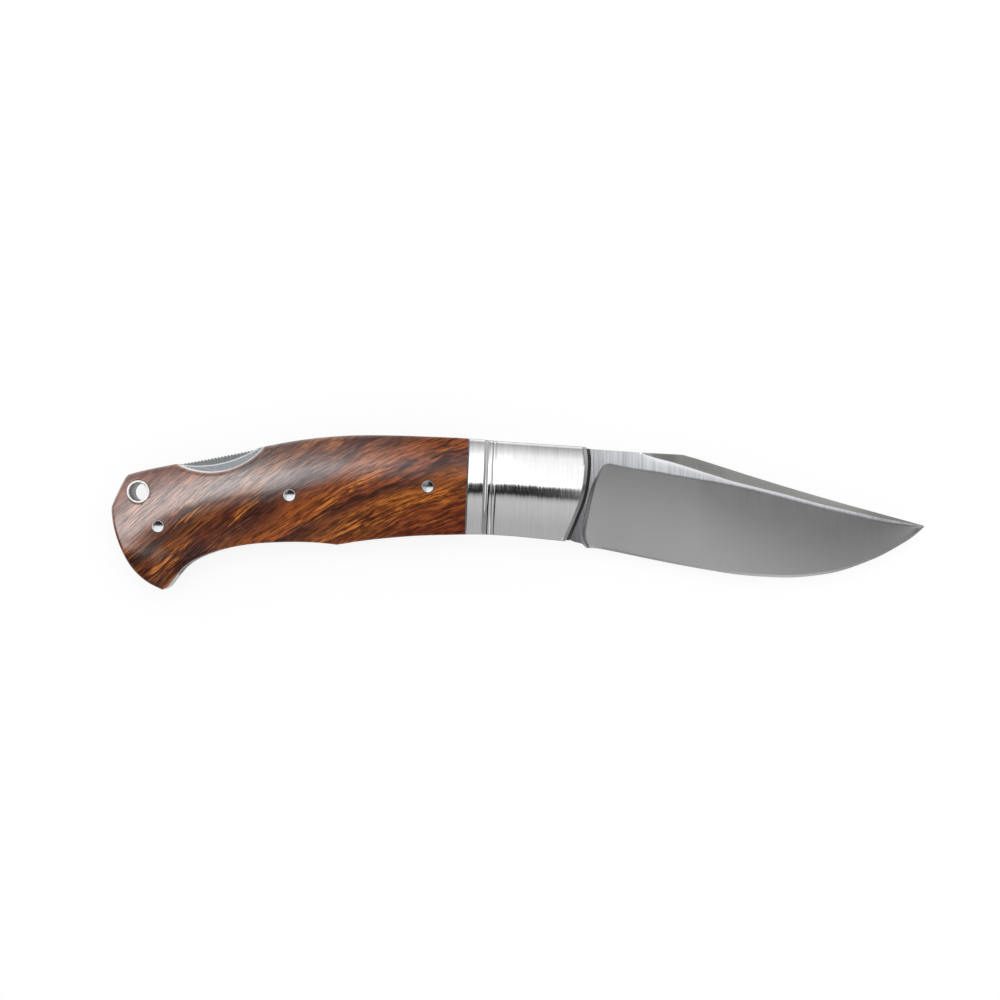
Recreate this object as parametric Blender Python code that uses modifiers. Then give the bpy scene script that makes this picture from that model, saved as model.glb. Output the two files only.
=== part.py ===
"""Folding knife with a back lock, open and lying on its left side.

Metres. +X runs from the handle to the blade's tip, +Y to the knife's back, +Z up through its thickness.
The origin is on the flat crown of the lower bolster, level with the blade's pivot. Inside the file each
outline is measured from the pivot, in the blade's middle plane, and one empty sets the knife down.
"""

import math

import bmesh
import bpy
from mathutils import Vector
from mathutils.geometry import intersect_point_line

# Overall sizes.
HANDLE_REACH = 0.1055       # pivot to the rear-most point of the pommel
HANDLE_SPAN = 0.0249        # unit of the handle outline's heights, about its height at the bolster
TIP_MARGIN = 0.0151         # pommel left behind the tip when the blade is closed
BLADE_REACH = HANDLE_REACH - TIP_MARGIN     # pivot to the tip
BLADE_SPAN = 0.0311         # unit of the blade outline's heights, back line to lowest point of the belly

# The stack through the thickness, from the middle plane outwards.
STOCK_THICKNESS = 0.0030    # blade, lock bar, back spring and rear spacer
LINER_THICKNESS = 0.0010
COVER_THICKNESS = 0.0039    # scale and bolster at their crown
FIT_GAP = 0.0003            # between a piece and what it fits or lies on

# Bolster.
BOLSTER_TAIL = 0.0201       # pivot back to the joint with the scale
BOLSTER_NOSE = 0.00895      # pivot forward to the front edge at its fullest
REAR_BAND = 0.0037
REAR_GROOVE = 0.0010
FRONT_GROOVE = 0.0004
GROOVE_DEPTH = 0.0004
BEAD_WIDTH = 0.0013
NOSE_CHAMFER = 0.0008
JOINT_LEAN_SHARE = 0.038    # how far the joint and the rings lean forward for each step towards the back

# Crown of the scales and bolsters.
CROWN_RADIUS = 0.0300
CROWN_FLAT = 0.0009         # half width of the flat along the crown
EDGE_ROUND = 0.0008

# Pins, rivets and the lanyard tube.
SCALE_PIN_RADIUS = 0.0016
PIN_RECESS = 0.00004        # pin ends lie this far under the crown
PIVOT_RADIUS = 0.0020
ROCKER_PIN_RADIUS = 0.0010
RIVET_RADIUS = 0.00125
BLIND_DEPTH = 0.0020        # how far the pivot and the rivets reach into a bolster
TUBE_OUTER = 0.0028
TUBE_BORE = 0.00215
TUBE_RECESS = 0.0006        # tube ends lie this far under the crown
FRONT_PIN_SHARE = -0.278    # places along the handle's reach
MIDDLE_PIN_SHARE = -0.592
REAR_PIN_SETBACK = 0.00232  # rear pin behind the rear spacer's front
ROCKER_SHARE = -0.443
RIVET_SHARE = -0.118
TUBE_SETBACK = 0.00722      # lanyard tube behind the rear spacer's front
TUBE_HEIGHT_SHARE = 0.0975

# Blade.
TANG_RADIUS = 0.0085        # rear of the tang, clear of the lock bar's hook as the blade turns
LOCK_FACE = 0.0006          # lock face behind the pivot, at the back
LOCK_UNDERCUT = 0.0003
TANG_INSET = 0.0002         # tang and lock bar lie this far under the handle's back line
SPINE_HALF = 0.0007         # half width of the spine along the swedge
EDGE_SHOULDER = 0.0003      # half thickness where the main bevel meets the edge bevel
EDGE_HALF = 0.00006
EDGE_BEVEL = 0.0006
PLUNGE_RUN = 0.0012
TIP_THICKNESS_SHARE = 0.30
SWEDGE_START_SHARE = 0.242
TAPER_START_SHARE = 0.40

# Lock bar and back spring.
BAR_HEIGHT = 0.0046
BAR_END_GAP = 0.00068       # lock bar's rear end to the rear spacer
HOOK_LENGTH = 0.0037
HOOK_BOTTOM = 0.0090        # hook's underside above the pivot
BOSS_EXTRA = 0.0010         # added height round the rocker pin
BOSS_RUN = 0.0060
TOOTH_PITCH = 0.0008
TOOTH_DEPTH = 0.00035
TOOTH_COUNT = 23
JIMP_START_SHARE = -0.845
SPRING_LEAF = 0.0010
SPRING_ROOT = 0.0030        # length inside the rear spacer
SPRING_ROOT_HEIGHT = 0.0014
SPRING_PAD_SHARE = -0.717   # where the leaf bears on the bar
SPRING_TOE = 0.0016
TIP_CLEARANCE = 0.0010      # rear spacer to the tip's circle

# Thumb scoop: the scale is cut deeper than the liner.
SCOOP_RADIUS = 0.0167
SCOOP_DEPTH = 0.0040
SCOOP_SHARE = -0.7514
LINER_CUT_RADIUS = 0.0272
LINER_CUT_DEPTH = 0.00185
LINER_CUT_SHARE = -0.760

CUT_OVERRUN = 0.0020        # how far a cutter runs past what it cuts
MERGE_DISTANCE = 0.000001
ROUND_SIDES = 32
SCOOP_SIDES = 144

# Outlines as (share of reach, share of span), measured from the pivot.
BACK_SHARES = (
    (-0.963, 0.263), (-0.931, 0.301), (-0.877, 0.348), (-0.797, 0.411), (-0.724, 0.471), (-0.651, 0.536),
    (-0.597, 0.580), (-0.542, 0.614), (-0.487, 0.635), (-0.433, 0.645), (-0.360, 0.643), (-0.287, 0.633),
    (-0.196, 0.616), (-0.105, 0.585), (-0.014, 0.558), (0.082, 0.531), (0.114, 0.516),
)
POMMEL_SHARES = (
    (-0.963, 0.263), (-0.972, 0.212), (-0.985, 0.097), (-0.994, 0.010), (-0.999, -0.058),
    (-0.997, -0.145), (-0.992, -0.251), (-0.980, -0.406), (-0.962, -0.560), (-0.942, -0.676),
    (-0.915, -0.775), (-0.883, -0.848),
)
REAR_BELLY_SHARES = (
    (-0.883, -0.848), (-0.872, -0.819), (-0.861, -0.763), (-0.847, -0.689), (-0.833, -0.626),
    (-0.813, -0.565), (-0.779, -0.501), (-0.733, -0.444), (-0.670, -0.402), (-0.597, -0.387),
    (-0.542, -0.391), (-0.510, -0.402), (-0.487, -0.414),
)
FRONT_BELLY_SHARES = (
    (-0.487, -0.414), (-0.465, -0.400), (-0.433, -0.379), (-0.378, -0.352), (-0.305, -0.328),
    (-0.232, -0.318), (-0.159, -0.315), (-0.087, -0.331), (-0.014, -0.361), (0.034, -0.382),
    (0.091, -0.410),
)
NOSE_SHARES = ((0.971, 0.531), (1.000, 0.338), (0.898, 0.068), (0.674, -0.155), (0.405, -0.382))
CROWN_SHARES = (
    (0.114, 0.063), (0.000, 0.092), (-0.091, 0.126), (-0.182, 0.145), (-0.278, 0.147), (-0.387, 0.140),
    (-0.478, 0.121), (-0.594, 0.063), (-0.706, 0.019), (-0.786, -0.048), (-0.842, -0.126),
    (-0.893, -0.243), (-0.918, -0.348), (-0.927, -0.463),
)
SPINE_SHARES = (
    (0.104, 0.412), (0.242, 0.384), (0.354, 0.367), (0.389, 0.339), (0.454, 0.279), (0.540, 0.199),
    (0.625, 0.123), (0.710, 0.050), (0.795, -0.021), (0.882, -0.090), (0.945, -0.140), (1.001, -0.186),
)
SWEDGE_SHARES = (
    (0.242, 0.384), (0.283, 0.343), (0.334, 0.302), (0.398, 0.243), (0.451, 0.195), (0.480, 0.167),
    (0.544, 0.119), (0.629, 0.058), (0.715, -0.010), (0.800, -0.069), (0.885, -0.124), (0.951, -0.160),
    (1.001, -0.190),
)
GRIND_SHARES = (
    (0.149, 0.302), (0.163, 0.299), (0.219, 0.267), (0.283, 0.241), (0.334, 0.214), (0.398, 0.182),
    (0.451, 0.157), (0.544, 0.100), (0.629, 0.036), (0.715, -0.030), (0.800, -0.088), (0.885, -0.142),
    (0.951, -0.173), (1.001, -0.194),
)
EDGE_SHARES = (
    (0.097, -0.357), (0.134, -0.365), (0.198, -0.402), (0.262, -0.441), (0.347, -0.490), (0.433, -0.534),
    (0.497, -0.563), (0.561, -0.580), (0.625, -0.588), (0.667, -0.585), (0.710, -0.572), (0.753, -0.553),
    (0.795, -0.521), (0.838, -0.476), (0.882, -0.423), (0.924, -0.357), (0.967, -0.280), (1.001, -0.199),
)
PLUNGE_SHARES = (
    (0.149, 0.302), (0.138, 0.272), (0.127, 0.217), (0.112, 0.138), (0.096, -0.039), (0.086, -0.187),
    (0.085, -0.280), (0.097, -0.357),
)
TANG_BELLY_SHARES = ((0.086, -0.325), (0.064, -0.309), (0.048, -0.289), (0.023, -0.265))
STATION_SHARES = (0.283, 0.334, 0.366, 0.389, 0.454, 0.540, 0.625, 0.710, 0.795, 0.860, 0.924, 0.967, 1.001)

# Derived places through the thickness, from the middle plane.
STOCK_HALF = STOCK_THICKNESS / 2
LINER_INNER = STOCK_HALF + FIT_GAP
LINER_OUTER = LINER_INNER + LINER_THICKNESS
COVER_INNER = LINER_OUTER + FIT_GAP
HALF_THICKNESS = COVER_INNER + COVER_THICKNESS

PARTS = bpy.data.collections.new("folding_knife")
CUTTERS = bpy.data.collections.new("cutters")


def clear_scene():
    """Remove every object, and link the two collections that this part uses."""
    for obj in list(bpy.data.objects):
        bpy.data.objects.remove(obj, do_unlink=True)
    bpy.context.scene.collection.children.link(PARTS)
    bpy.context.scene.collection.children.link(CUTTERS)


def scaled(shares, reach, span):
    """Turn a table of shares into points in metres."""
    return [Vector((along * reach, up * span)) for along, up in shares]


def smoothed(points, pieces=2):
    """Run a smooth curve through points, with this many pieces between each two."""
    path = []
    last = len(points) - 1
    for index in range(last):
        start = points[index]
        end = points[index + 1]
        lead = (end - points[index - 1]) / 2 if index else end - start
        trail = (points[index + 2] - start) / 2 if index + 2 <= last else end - start
        for piece in range(pieces):
            t = piece / pieces
            path.append(
                start * (2 * t ** 3 - 3 * t ** 2 + 1) + lead * (t ** 3 - 2 * t ** 2 + t)
                + end * (3 * t ** 2 - 2 * t ** 3) + trail * (t ** 3 - t ** 2)
            )
    path.append(points[last].copy())
    return path


def height_on(line, along):
    """Height of a line of points at a distance along the handle or blade."""
    ordered = sorted(line, key=lambda point: point.x)
    if along <= ordered[0].x:
        return ordered[0].y
    for start, end in zip(ordered, ordered[1:]):
        if along <= end.x:
            share = (along - start.x) / max(end.x - start.x, MERGE_DISTANCE)
            return start.y + (end.y - start.y) * share
    return ordered[-1].y


def line_until(line, along):
    """The part of a line that lies behind a place, ending exactly at that place."""
    kept = [point for point in line if point.x < along]
    return kept + [Vector((along, height_on(line, along)))]


def without_repeats(points):
    """Drop each point that lies on the one before it, round the whole loop."""
    kept = []
    for point in points:
        if not kept or (point - kept[-1]).length > MERGE_DISTANCE:
            kept.append(point)
    if (kept[0] - kept[-1]).length <= MERGE_DISTANCE:
        kept.pop()
    return kept


def arc(centre, radius, start, end, steps):
    """Points on an arc, from one angle in degrees to another."""
    angles = [math.radians(start + (end - start) * step / steps) for step in range(steps + 1)]
    return [centre + Vector((math.cos(angle), math.sin(angle))) * radius for angle in angles]


BACK = smoothed(scaled(BACK_SHARES, HANDLE_REACH, HANDLE_SPAN))
POMMEL = smoothed(scaled(POMMEL_SHARES, HANDLE_REACH, HANDLE_SPAN))
REAR_BELLY = smoothed(scaled(REAR_BELLY_SHARES, HANDLE_REACH, HANDLE_SPAN))
FRONT_BELLY = smoothed(scaled(FRONT_BELLY_SHARES, HANDLE_REACH, HANDLE_SPAN))
BELLY = REAR_BELLY + FRONT_BELLY[1:]
NOSE = smoothed(scaled(NOSE_SHARES, BOLSTER_NOSE, HANDLE_SPAN))
CROWN = smoothed(scaled(CROWN_SHARES, HANDLE_REACH, HANDLE_SPAN))
SPINE = scaled(SPINE_SHARES, BLADE_REACH, BLADE_SPAN)
SWEDGE = scaled(SWEDGE_SHARES, BLADE_REACH, BLADE_SPAN)
GRIND = scaled(GRIND_SHARES, BLADE_REACH, BLADE_SPAN)
EDGE = scaled(EDGE_SHARES, BLADE_REACH, BLADE_SPAN)
PLUNGE = smoothed(scaled(PLUNGE_SHARES, BLADE_REACH, BLADE_SPAN))
PIVOT = Vector((0, 0))
PIVOT_DROP = height_on(CROWN, 0)
FRONT_PIN = Vector((FRONT_PIN_SHARE * HANDLE_REACH, height_on(CROWN, FRONT_PIN_SHARE * HANDLE_REACH)))
MIDDLE_PIN = Vector((MIDDLE_PIN_SHARE * HANDLE_REACH, height_on(CROWN, MIDDLE_PIN_SHARE * HANDLE_REACH)))
RIVET = Vector((RIVET_SHARE * HANDLE_REACH, height_on(CROWN, RIVET_SHARE * HANDLE_REACH)))
ROCKER = Vector((
    ROCKER_SHARE * HANDLE_REACH,
    height_on(BACK, ROCKER_SHARE * HANDLE_REACH) - TANG_INSET - (BAR_HEIGHT + BOSS_EXTRA) / 2,
))
SPRING_ROOT_X = -math.hypot(BLADE_REACH, SPINE_SHARES[-1][1] * BLADE_SPAN) - TIP_CLEARANCE
SPRING_AXIS = Vector((SPRING_ROOT_X - SPRING_ROOT / 2, SPRING_ROOT_HEIGHT))
REAR_PIN_X = SPRING_ROOT_X - REAR_PIN_SETBACK
REAR_PIN = Vector((REAR_PIN_X, height_on(CROWN, REAR_PIN_X)))
TUBE = Vector((SPRING_ROOT_X - TUBE_SETBACK, TUBE_HEIGHT_SHARE * HANDLE_SPAN))


def finish(name, colour, roughness, metallic):
    """Make a material with one colour, roughness and metallic value."""
    material = bpy.data.materials.new(name)
    material.use_nodes = True
    shader = material.node_tree.nodes["Principled BSDF"]
    shader.inputs["Base Color"].default_value = (*colour, 1)
    shader.inputs["Roughness"].default_value = roughness
    shader.inputs["Metallic"].default_value = metallic
    material.diffuse_color = (*colour, 1)
    return material


def object_from(name, mesh, material, parent, at, collection=PARTS):
    """Add a mesh as an object whose origin is a point of the middle plane, measured from the pivot."""
    obj = bpy.data.objects.new(name, mesh)
    if material:
        mesh.materials.clear()
        mesh.materials.append(material)
    collection.objects.link(obj)
    obj.parent = parent
    obj.location = (at.x, at.y, 0)
    return obj


def loft(name, rows, caps=()):
    """Join rows of points with quads, close them with caps, and face the skin outwards."""
    mesh = bpy.data.meshes.new(name)
    bm = bmesh.new()
    grid = [[bm.verts.new(point) for point in row] for row in rows]
    for first, second in zip(grid, grid[1:]):
        for index in range(len(first) - 1):
            bm.faces.new((first[index], first[index + 1], second[index + 1], second[index]))
    for cap in caps:
        bm.faces.new([grid[row][column] for row, column in cap])
    bmesh.ops.remove_doubles(bm, verts=bm.verts, dist=MERGE_DISTANCE)
    bmesh.ops.recalc_face_normals(bm, faces=bm.faces)
    bm.to_mesh(mesh)
    bm.free()
    return mesh


def plate(name, outline, thickness, middle, material, parent, at=PIVOT, collection=PARTS):
    """Extrude a flat outline, given from the pivot, into a plate centred on a height."""
    curve = bpy.data.curves.new(name, "CURVE")
    curve.dimensions = "2D"
    curve.fill_mode = "BOTH"
    curve.extrude = thickness / 2
    points = without_repeats(outline)
    spline = curve.splines.new("POLY")
    spline.points.add(len(points) - 1)
    for slot, point in zip(spline.points, points):
        slot.co = (point.x - at.x, point.y - at.y, 0, 1)
    spline.use_cyclic_u = True
    drawn = bpy.data.objects.new(name, curve)
    CUTTERS.objects.link(drawn)
    drawn.location = (0, 0, middle)
    bpy.context.view_layer.update()
    mesh = bpy.data.meshes.new_from_object(drawn.evaluated_get(bpy.context.evaluated_depsgraph_get()))
    mesh.transform(drawn.matrix_world)
    bpy.data.objects.remove(drawn)
    bm = bmesh.new()
    bm.from_mesh(mesh)
    bmesh.ops.remove_doubles(bm, verts=bm.verts, dist=MERGE_DISTANCE)
    bmesh.ops.recalc_face_normals(bm, faces=bm.faces)
    bm.to_mesh(mesh)
    bm.free()
    return object_from(name, mesh, material, parent, at, collection)


def rod(name, radius, low, high, material, parent, at, collection=PARTS, sides=ROUND_SIDES):
    """Make a round rod along Z between two heights."""
    mesh = bpy.data.meshes.new(name)
    bm = bmesh.new()
    bmesh.ops.create_cone(
        bm, cap_ends=True, segments=sides, radius1=radius, radius2=radius, depth=high - low
    )
    bmesh.ops.translate(bm, verts=bm.verts, vec=(0, 0, (low + high) / 2))
    bm.to_mesh(mesh)
    bm.free()
    obj = object_from(name, mesh, material, parent, at, collection)
    mesh.shade_smooth()
    mesh.set_sharp_from_angle(angle=math.radians(40))
    return obj


def bore(target, radius, low, high, at, parent):
    """Cut a round hole along Z through a piece."""
    cutter = rod(target.name + "_bore", radius, low, high, None, parent, at, CUTTERS)
    cut(target, cutter)


def cut(target, cutter):
    """Take one shape away from another."""
    cutter.hide_render = True
    cutter.display_type = "WIRE"
    boolean = target.modifiers.new("cut", "BOOLEAN")
    boolean.operation = "DIFFERENCE"
    boolean.solver = "EXACT"
    boolean.object = cutter


def crown_drop(point):
    """How far a cover's face lies under its crown at a place, from a round crown with a flat along it."""
    away = min(
        (point - foot_on(start, end, point)).length for start, end in zip(CROWN, CROWN[1:])
    )
    beyond = max(away - CROWN_FLAT, 0)
    return CROWN_RADIUS - math.sqrt(CROWN_RADIUS ** 2 - beyond ** 2)


def foot_on(start, end, point):
    """The nearest place to a point on a straight piece of line."""
    foot, share = intersect_point_line(point, start, end)
    if share <= 0:
        return start
    if share >= 1:
        return end
    return foot.to_2d()


def nearest_on(line, point):
    """The nearest place to a point on a line of points."""
    feet = [foot_on(start, end, point) for start, end in zip(line, line[1:])]
    return min(feet, key=lambda foot: (foot - point).length)


def joint_at(up, step=0.0):
    """Place along the handle of the joint line, or of a line ahead of it, at a height."""
    return -BOLSTER_TAIL + step + JOINT_LEAN_SHARE * up


def scale_rows(side):
    """Rows of a wood scale's skin, each running from its inner face over its edge to the crown."""
    front = joint_at(0) + CUT_OVERRUN
    path = without_repeats(line_until(BACK, front)[::-1] + POMMEL + line_until(BELLY, front))
    crown = [Vector((front, height_on(CROWN, front)))] + [point for point in CROWN if point.x < front]
    rows = []
    for index, point in enumerate(path):
        ahead = path[min(index + 1, len(path) - 1)]
        behind = path[max(index - 1, 0)]
        along = (ahead - behind).normalized()
        inward = Vector((-along.y, along.x))
        brink = point + inward * EDGE_ROUND
        foot = nearest_on(crown, brink)
        flat = foot + (brink - foot).normalized() * CROWN_FLAT
        side_height = HALF_THICKNESS - crown_drop(brink)
        row = [
            (point, COVER_INNER),
            (point, side_height - EDGE_ROUND),
            (point + inward * EDGE_ROUND * (1 - math.cos(math.pi / 4)),
             side_height - EDGE_ROUND * (1 - math.sin(math.pi / 4))),
            (brink, side_height),
        ]
        for share in (0.4, 0.75):
            place = brink.lerp(flat, share)
            row.append((place, HALF_THICKNESS - crown_drop(place)))
        row.append((flat, HALF_THICKNESS))
        rows.append([Vector((place.x, place.y, side * height)) for place, height in row])
    return rows


def make_scale(name, side, material, knife):
    """Build one wood scale: crowned, rounded at its edge, cut at the bolster, scooped for the thumb."""
    rows = scale_rows(side)
    last = len(rows) - 1
    columns = len(rows[0]) - 1
    caps = [
        [(row, 0) for row in range(last + 1)],
        [(row, columns) for row in range(last + 1)],
        [(0, column) for column in range(columns + 1)] + [(last, c) for c in range(columns, -1, -1)],
    ]
    scale = object_from(name, loft(name, rows, caps), material, knife, PIVOT)
    top = max(point.y for point in BACK) + CUT_OVERRUN
    bottom = min(point.y for point in FRONT_BELLY) - CUT_OVERRUN
    gap = -FIT_GAP / 2
    far = BOLSTER_TAIL
    trim = [
        Vector((joint_at(bottom, gap), bottom)), Vector((joint_at(bottom, gap + far), bottom)),
        Vector((joint_at(top, gap + far), top)), Vector((joint_at(top, gap), top)),
    ]
    depth = 2 * (HALF_THICKNESS + CUT_OVERRUN)
    cut(scale, plate(name + "_trim", trim, depth, 0, None, knife, PIVOT, CUTTERS))
    low = COVER_INNER - CUT_OVERRUN
    high = HALF_THICKNESS + CUT_OVERRUN
    ends = sorted((side * low, side * high))
    centre = cut_centre(SCOOP_SHARE, SCOOP_RADIUS, SCOOP_DEPTH)
    cut(scale, rod(name + "_scoop", SCOOP_RADIUS, *ends, None, knife, centre, CUTTERS, SCOOP_SIDES))
    for pin in (FRONT_PIN, MIDDLE_PIN, REAR_PIN):
        bore(scale, SCALE_PIN_RADIUS + FIT_GAP, *ends, pin, knife)
    bore(scale, TUBE_OUTER + FIT_GAP, *ends, TUBE, knife)
    return scale


def cut_centre(share, radius, depth):
    """Centre of a round cut of this depth into the handle's back."""
    along = share * HANDLE_REACH
    reach = math.sqrt(radius ** 2 - (radius - depth) ** 2)
    left = Vector((along - reach, height_on(BACK, along - reach)))
    right = Vector((along + reach, height_on(BACK, along + reach)))
    chord = (right - left).normalized()
    return (left + right) / 2 + Vector((-chord.y, chord.x)) * (radius - depth)


RING_END = REAR_BAND + REAR_GROOVE + BEAD_WIDTH + FRONT_GROOVE
NOSE_BY_HEIGHT = [Vector((point.y, point.x)) for point in NOSE]


def bolster_lines():
    """Lines across a bolster: how far each is from the joint, its share towards the nose, how deep it is."""
    lines = [(FIT_GAP / 2, 0, 0)]
    for start, width in ((REAR_BAND, REAR_GROOVE), (RING_END - FRONT_GROOVE, FRONT_GROOVE)):
        lines += [
            (start, 0, 0),
            (start + width * 0.25, 0, GROOVE_DEPTH * 0.85),
            (start + width * 0.75, 0, GROOVE_DEPTH * 0.85),
            (start + width, 0, 0),
        ]
    lines += [(RING_END, share, 0) for share in (0.2, 0.4, 0.6, 0.8)]
    lines += [(RING_END - NOSE_CHAMFER, 1, 0), (RING_END, 1, NOSE_CHAMFER / 2)]
    return lines


def line_at(up, step, share):
    """Place of one of the bolster's lines at a height."""
    start = joint_at(up, step)
    nose = height_on(NOSE_BY_HEIGHT, up) - joint_at(up, RING_END)
    return start + nose * share


def bolster_row(side, step, share, sunk):
    """One closed ring of points round a bolster: over its crown, then back along its flat inner face."""
    low = -HANDLE_SPAN / 2
    high = HANDLE_SPAN / 2
    for _ in range(6):
        low = height_on(BELLY, line_at(low, step, share)) + sunk
        high = height_on(BACK, line_at(high, step, share)) - sunk
    middle = height_on(CROWN, line_at(PIVOT_DROP, step, share))
    under = low + EDGE_ROUND
    over = high - EDGE_ROUND
    floor = middle - CROWN_FLAT
    roof = middle + CROWN_FLAT
    slight = EDGE_ROUND * (1 - math.cos(math.pi / 4))
    heights = [(low, EDGE_ROUND), (low + slight, slight), (under, 0)]
    heights += [(under + (floor - under) * along, 0) for along in (0.3, 0.65, 1)]
    heights += [(roof + (over - roof) * along, 0) for along in (0, 0.35, 0.7, 1)]
    heights += [(high - slight, slight), (high, EDGE_ROUND)]
    ring = []
    for up, rounded in heights:
        place = Vector((line_at(up, step, share), min(max(up, under), over)))
        height = HALF_THICKNESS - crown_drop(place) - sunk - rounded
        ring.append(Vector((place.x, up, side * height)))
    ring += [Vector((point.x, point.y, side * COVER_INNER)) for point in reversed(ring)]
    return ring


def make_bolster(name, side, material, knife):
    """Build one bolster, with its ring between two grooves and its blind holes for pivot and rivet."""
    rings = [bolster_row(side, *line) for line in bolster_lines()]
    count = len(rings[0])
    rows = [[*ring, ring[0]] for ring in rings]
    ends = [[(row, column) for column in range(count)] for row in (0, len(rows) - 1)]
    bolster = object_from(name, loft(name, rows, ends), material, knife, PIVOT)
    reach = sorted((side * (COVER_INNER - CUT_OVERRUN), side * (COVER_INNER + BLIND_DEPTH)))
    bore(bolster, PIVOT_RADIUS + FIT_GAP, *reach, PIVOT, knife)
    bore(bolster, RIVET_RADIUS + FIT_GAP, *reach, RIVET, knife)
    return bolster


def make_liner(name, side, material, knife):
    """Build one liner: the handle's whole outline, with its thumb cut and the holes for every pin."""
    outline = line_until(BACK, NOSE[0].x)[-2::-1] + POMMEL + line_until(BELLY, NOSE[-1].x)[:-1] + NOSE[::-1]
    middle = side * (LINER_INNER + LINER_THICKNESS / 2)
    liner = plate(name, outline, LINER_THICKNESS, middle, material, knife)
    ends = sorted((side * (LINER_INNER - CUT_OVERRUN), side * (LINER_OUTER + CUT_OVERRUN)))
    centre = cut_centre(LINER_CUT_SHARE, LINER_CUT_RADIUS, LINER_CUT_DEPTH)
    thumb_cut = name + "_thumb_cut"
    cut(liner, rod(thumb_cut, LINER_CUT_RADIUS, *ends, None, knife, centre, CUTTERS, SCOOP_SIDES))
    for pin in (FRONT_PIN, MIDDLE_PIN, REAR_PIN):
        bore(liner, SCALE_PIN_RADIUS + FIT_GAP, *ends, pin, knife)
    bore(liner, PIVOT_RADIUS + FIT_GAP, *ends, PIVOT, knife)
    bore(liner, ROCKER_PIN_RADIUS + FIT_GAP, *ends, ROCKER, knife)
    bore(liner, RIVET_RADIUS + FIT_GAP, *ends, RIVET, knife)
    bore(liner, TUBE_OUTER + FIT_GAP, *ends, TUBE, knife)
    return liner


def make_spacer(material, knife):
    """Build the rear spacer: it fills the pommel behind the circle that the blade's tip swings on."""
    radius = -SPRING_ROOT_X
    back = [point for point in BACK[::-1] if point.length > radius]
    belly = [point for point in BELLY if point.length > radius]
    belly = belly[:max(index + 1 for index, point in enumerate(belly) if point.x < 0)]
    top = math.degrees(math.atan2(back[0].y, back[0].x))
    bottom = math.degrees(math.atan2(belly[-1].y, belly[-1].x))
    start = top if top > 0 else top + 360
    stop = bottom + 360 if bottom < 0 else bottom
    front = arc(PIVOT, radius, stop, start, 12)
    spacer = plate("rear_spacer", back + POMMEL + belly + front, STOCK_THICKNESS, 0, material, knife)
    ends = (-STOCK_HALF - CUT_OVERRUN, STOCK_HALF + CUT_OVERRUN)
    bore(spacer, SCALE_PIN_RADIUS + FIT_GAP, *ends, REAR_PIN, knife)
    bore(spacer, TUBE_OUTER + FIT_GAP, *ends, TUBE, knife)
    low = SPRING_ROOT_HEIGHT - SPRING_LEAF / 2 - FIT_GAP
    high = SPRING_ROOT_HEIGHT + SPRING_LEAF / 2 + FIT_GAP
    deep = SPRING_ROOT_X - SPRING_ROOT - FIT_GAP
    mouth = SPRING_ROOT_X + CUT_OVERRUN
    slot = [Vector((deep, low)), Vector((mouth, low)), Vector((mouth, high)), Vector((deep, high))]
    thick = STOCK_THICKNESS + 2 * CUT_OVERRUN
    cut(spacer, plate("rear_spacer_slot", slot, thick, 0, None, knife, PIVOT, CUTTERS))
    return spacer


def make_tube(material, knife):
    """Turn the lanyard tube: its ends lie just under the scales' faces."""
    reach = HALF_THICKNESS - crown_drop(TUBE) - TUBE_RECESS
    profile = [(TUBE_OUTER, reach), (TUBE_OUTER, -reach), (TUBE_BORE, -reach), (TUBE_BORE, reach)]
    mesh = bpy.data.meshes.new("lanyard_tube")
    bm = bmesh.new()
    ring = [bm.verts.new((radius, 0, height)) for radius, height in profile]
    for index, vertex in enumerate(ring):
        bm.edges.new((vertex, ring[(index + 1) % len(ring)]))
    bm.to_mesh(mesh)
    bm.free()
    tube = object_from("lanyard_tube", mesh, material, knife, TUBE)
    screw = tube.modifiers.new("turn", "SCREW")
    screw.steps = ROUND_SIDES
    screw.render_steps = ROUND_SIDES
    screw.use_merge_vertices = True
    screw.merge_threshold = MERGE_DISTANCE
    screw.use_smooth_shade = False
    return tube


def bar_top(along):
    """Height of the lock bar's top."""
    return height_on(BACK, along) - TANG_INSET


def bar_bottom(along):
    """Height of the lock bar's underside, deeper round its pin."""
    away = min(abs(along - ROCKER.x) / BOSS_RUN, 1)
    boss = BOSS_EXTRA * (0.5 + 0.5 * math.cos(math.pi * away))
    return bar_top(along) - BAR_HEIGHT - boss


def make_lock_bar(material, pin):
    """Build the rocker bar: hook in front, boss at its pin, jimped top where the thumb presses it."""
    front = -LOCK_FACE - FIT_GAP
    rear = SPRING_ROOT_X + BAR_END_GAP
    hook = front - HOOK_LENGTH
    start = JIMP_START_SHARE * HANDLE_REACH
    end = start + TOOTH_COUNT * TOOTH_PITCH
    top = [Vector((rear, bar_top(rear)))]
    for tooth in range(TOOTH_COUNT):
        for step, sunk in ((0, 0), (0.35, 0), (0.5, TOOTH_DEPTH), (0.85, TOOTH_DEPTH)):
            along = start + (tooth + step) * TOOTH_PITCH
            top.append(Vector((along, bar_top(along) - sunk)))
    top += [Vector((point.x, bar_top(point.x))) for point in BACK if end < point.x < front]
    top.append(Vector((front, bar_top(front))))
    steps = [hook + (rear - hook) * step / 40 for step in range(41)]
    bottom = [Vector((front - LOCK_UNDERCUT, HOOK_BOTTOM)), Vector((hook + LOCK_UNDERCUT, HOOK_BOTTOM))]
    bottom += [Vector((along, bar_bottom(along))) for along in steps]
    bar = plate("lock_bar", top + bottom, STOCK_THICKNESS, 0, material, pin, ROCKER)
    bar.location = (0, 0, 0)
    ends = (-STOCK_HALF - CUT_OVERRUN, STOCK_HALF + CUT_OVERRUN)
    bore(bar, ROCKER_PIN_RADIUS + FIT_GAP, *ends, PIVOT, pin)
    return bar


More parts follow.
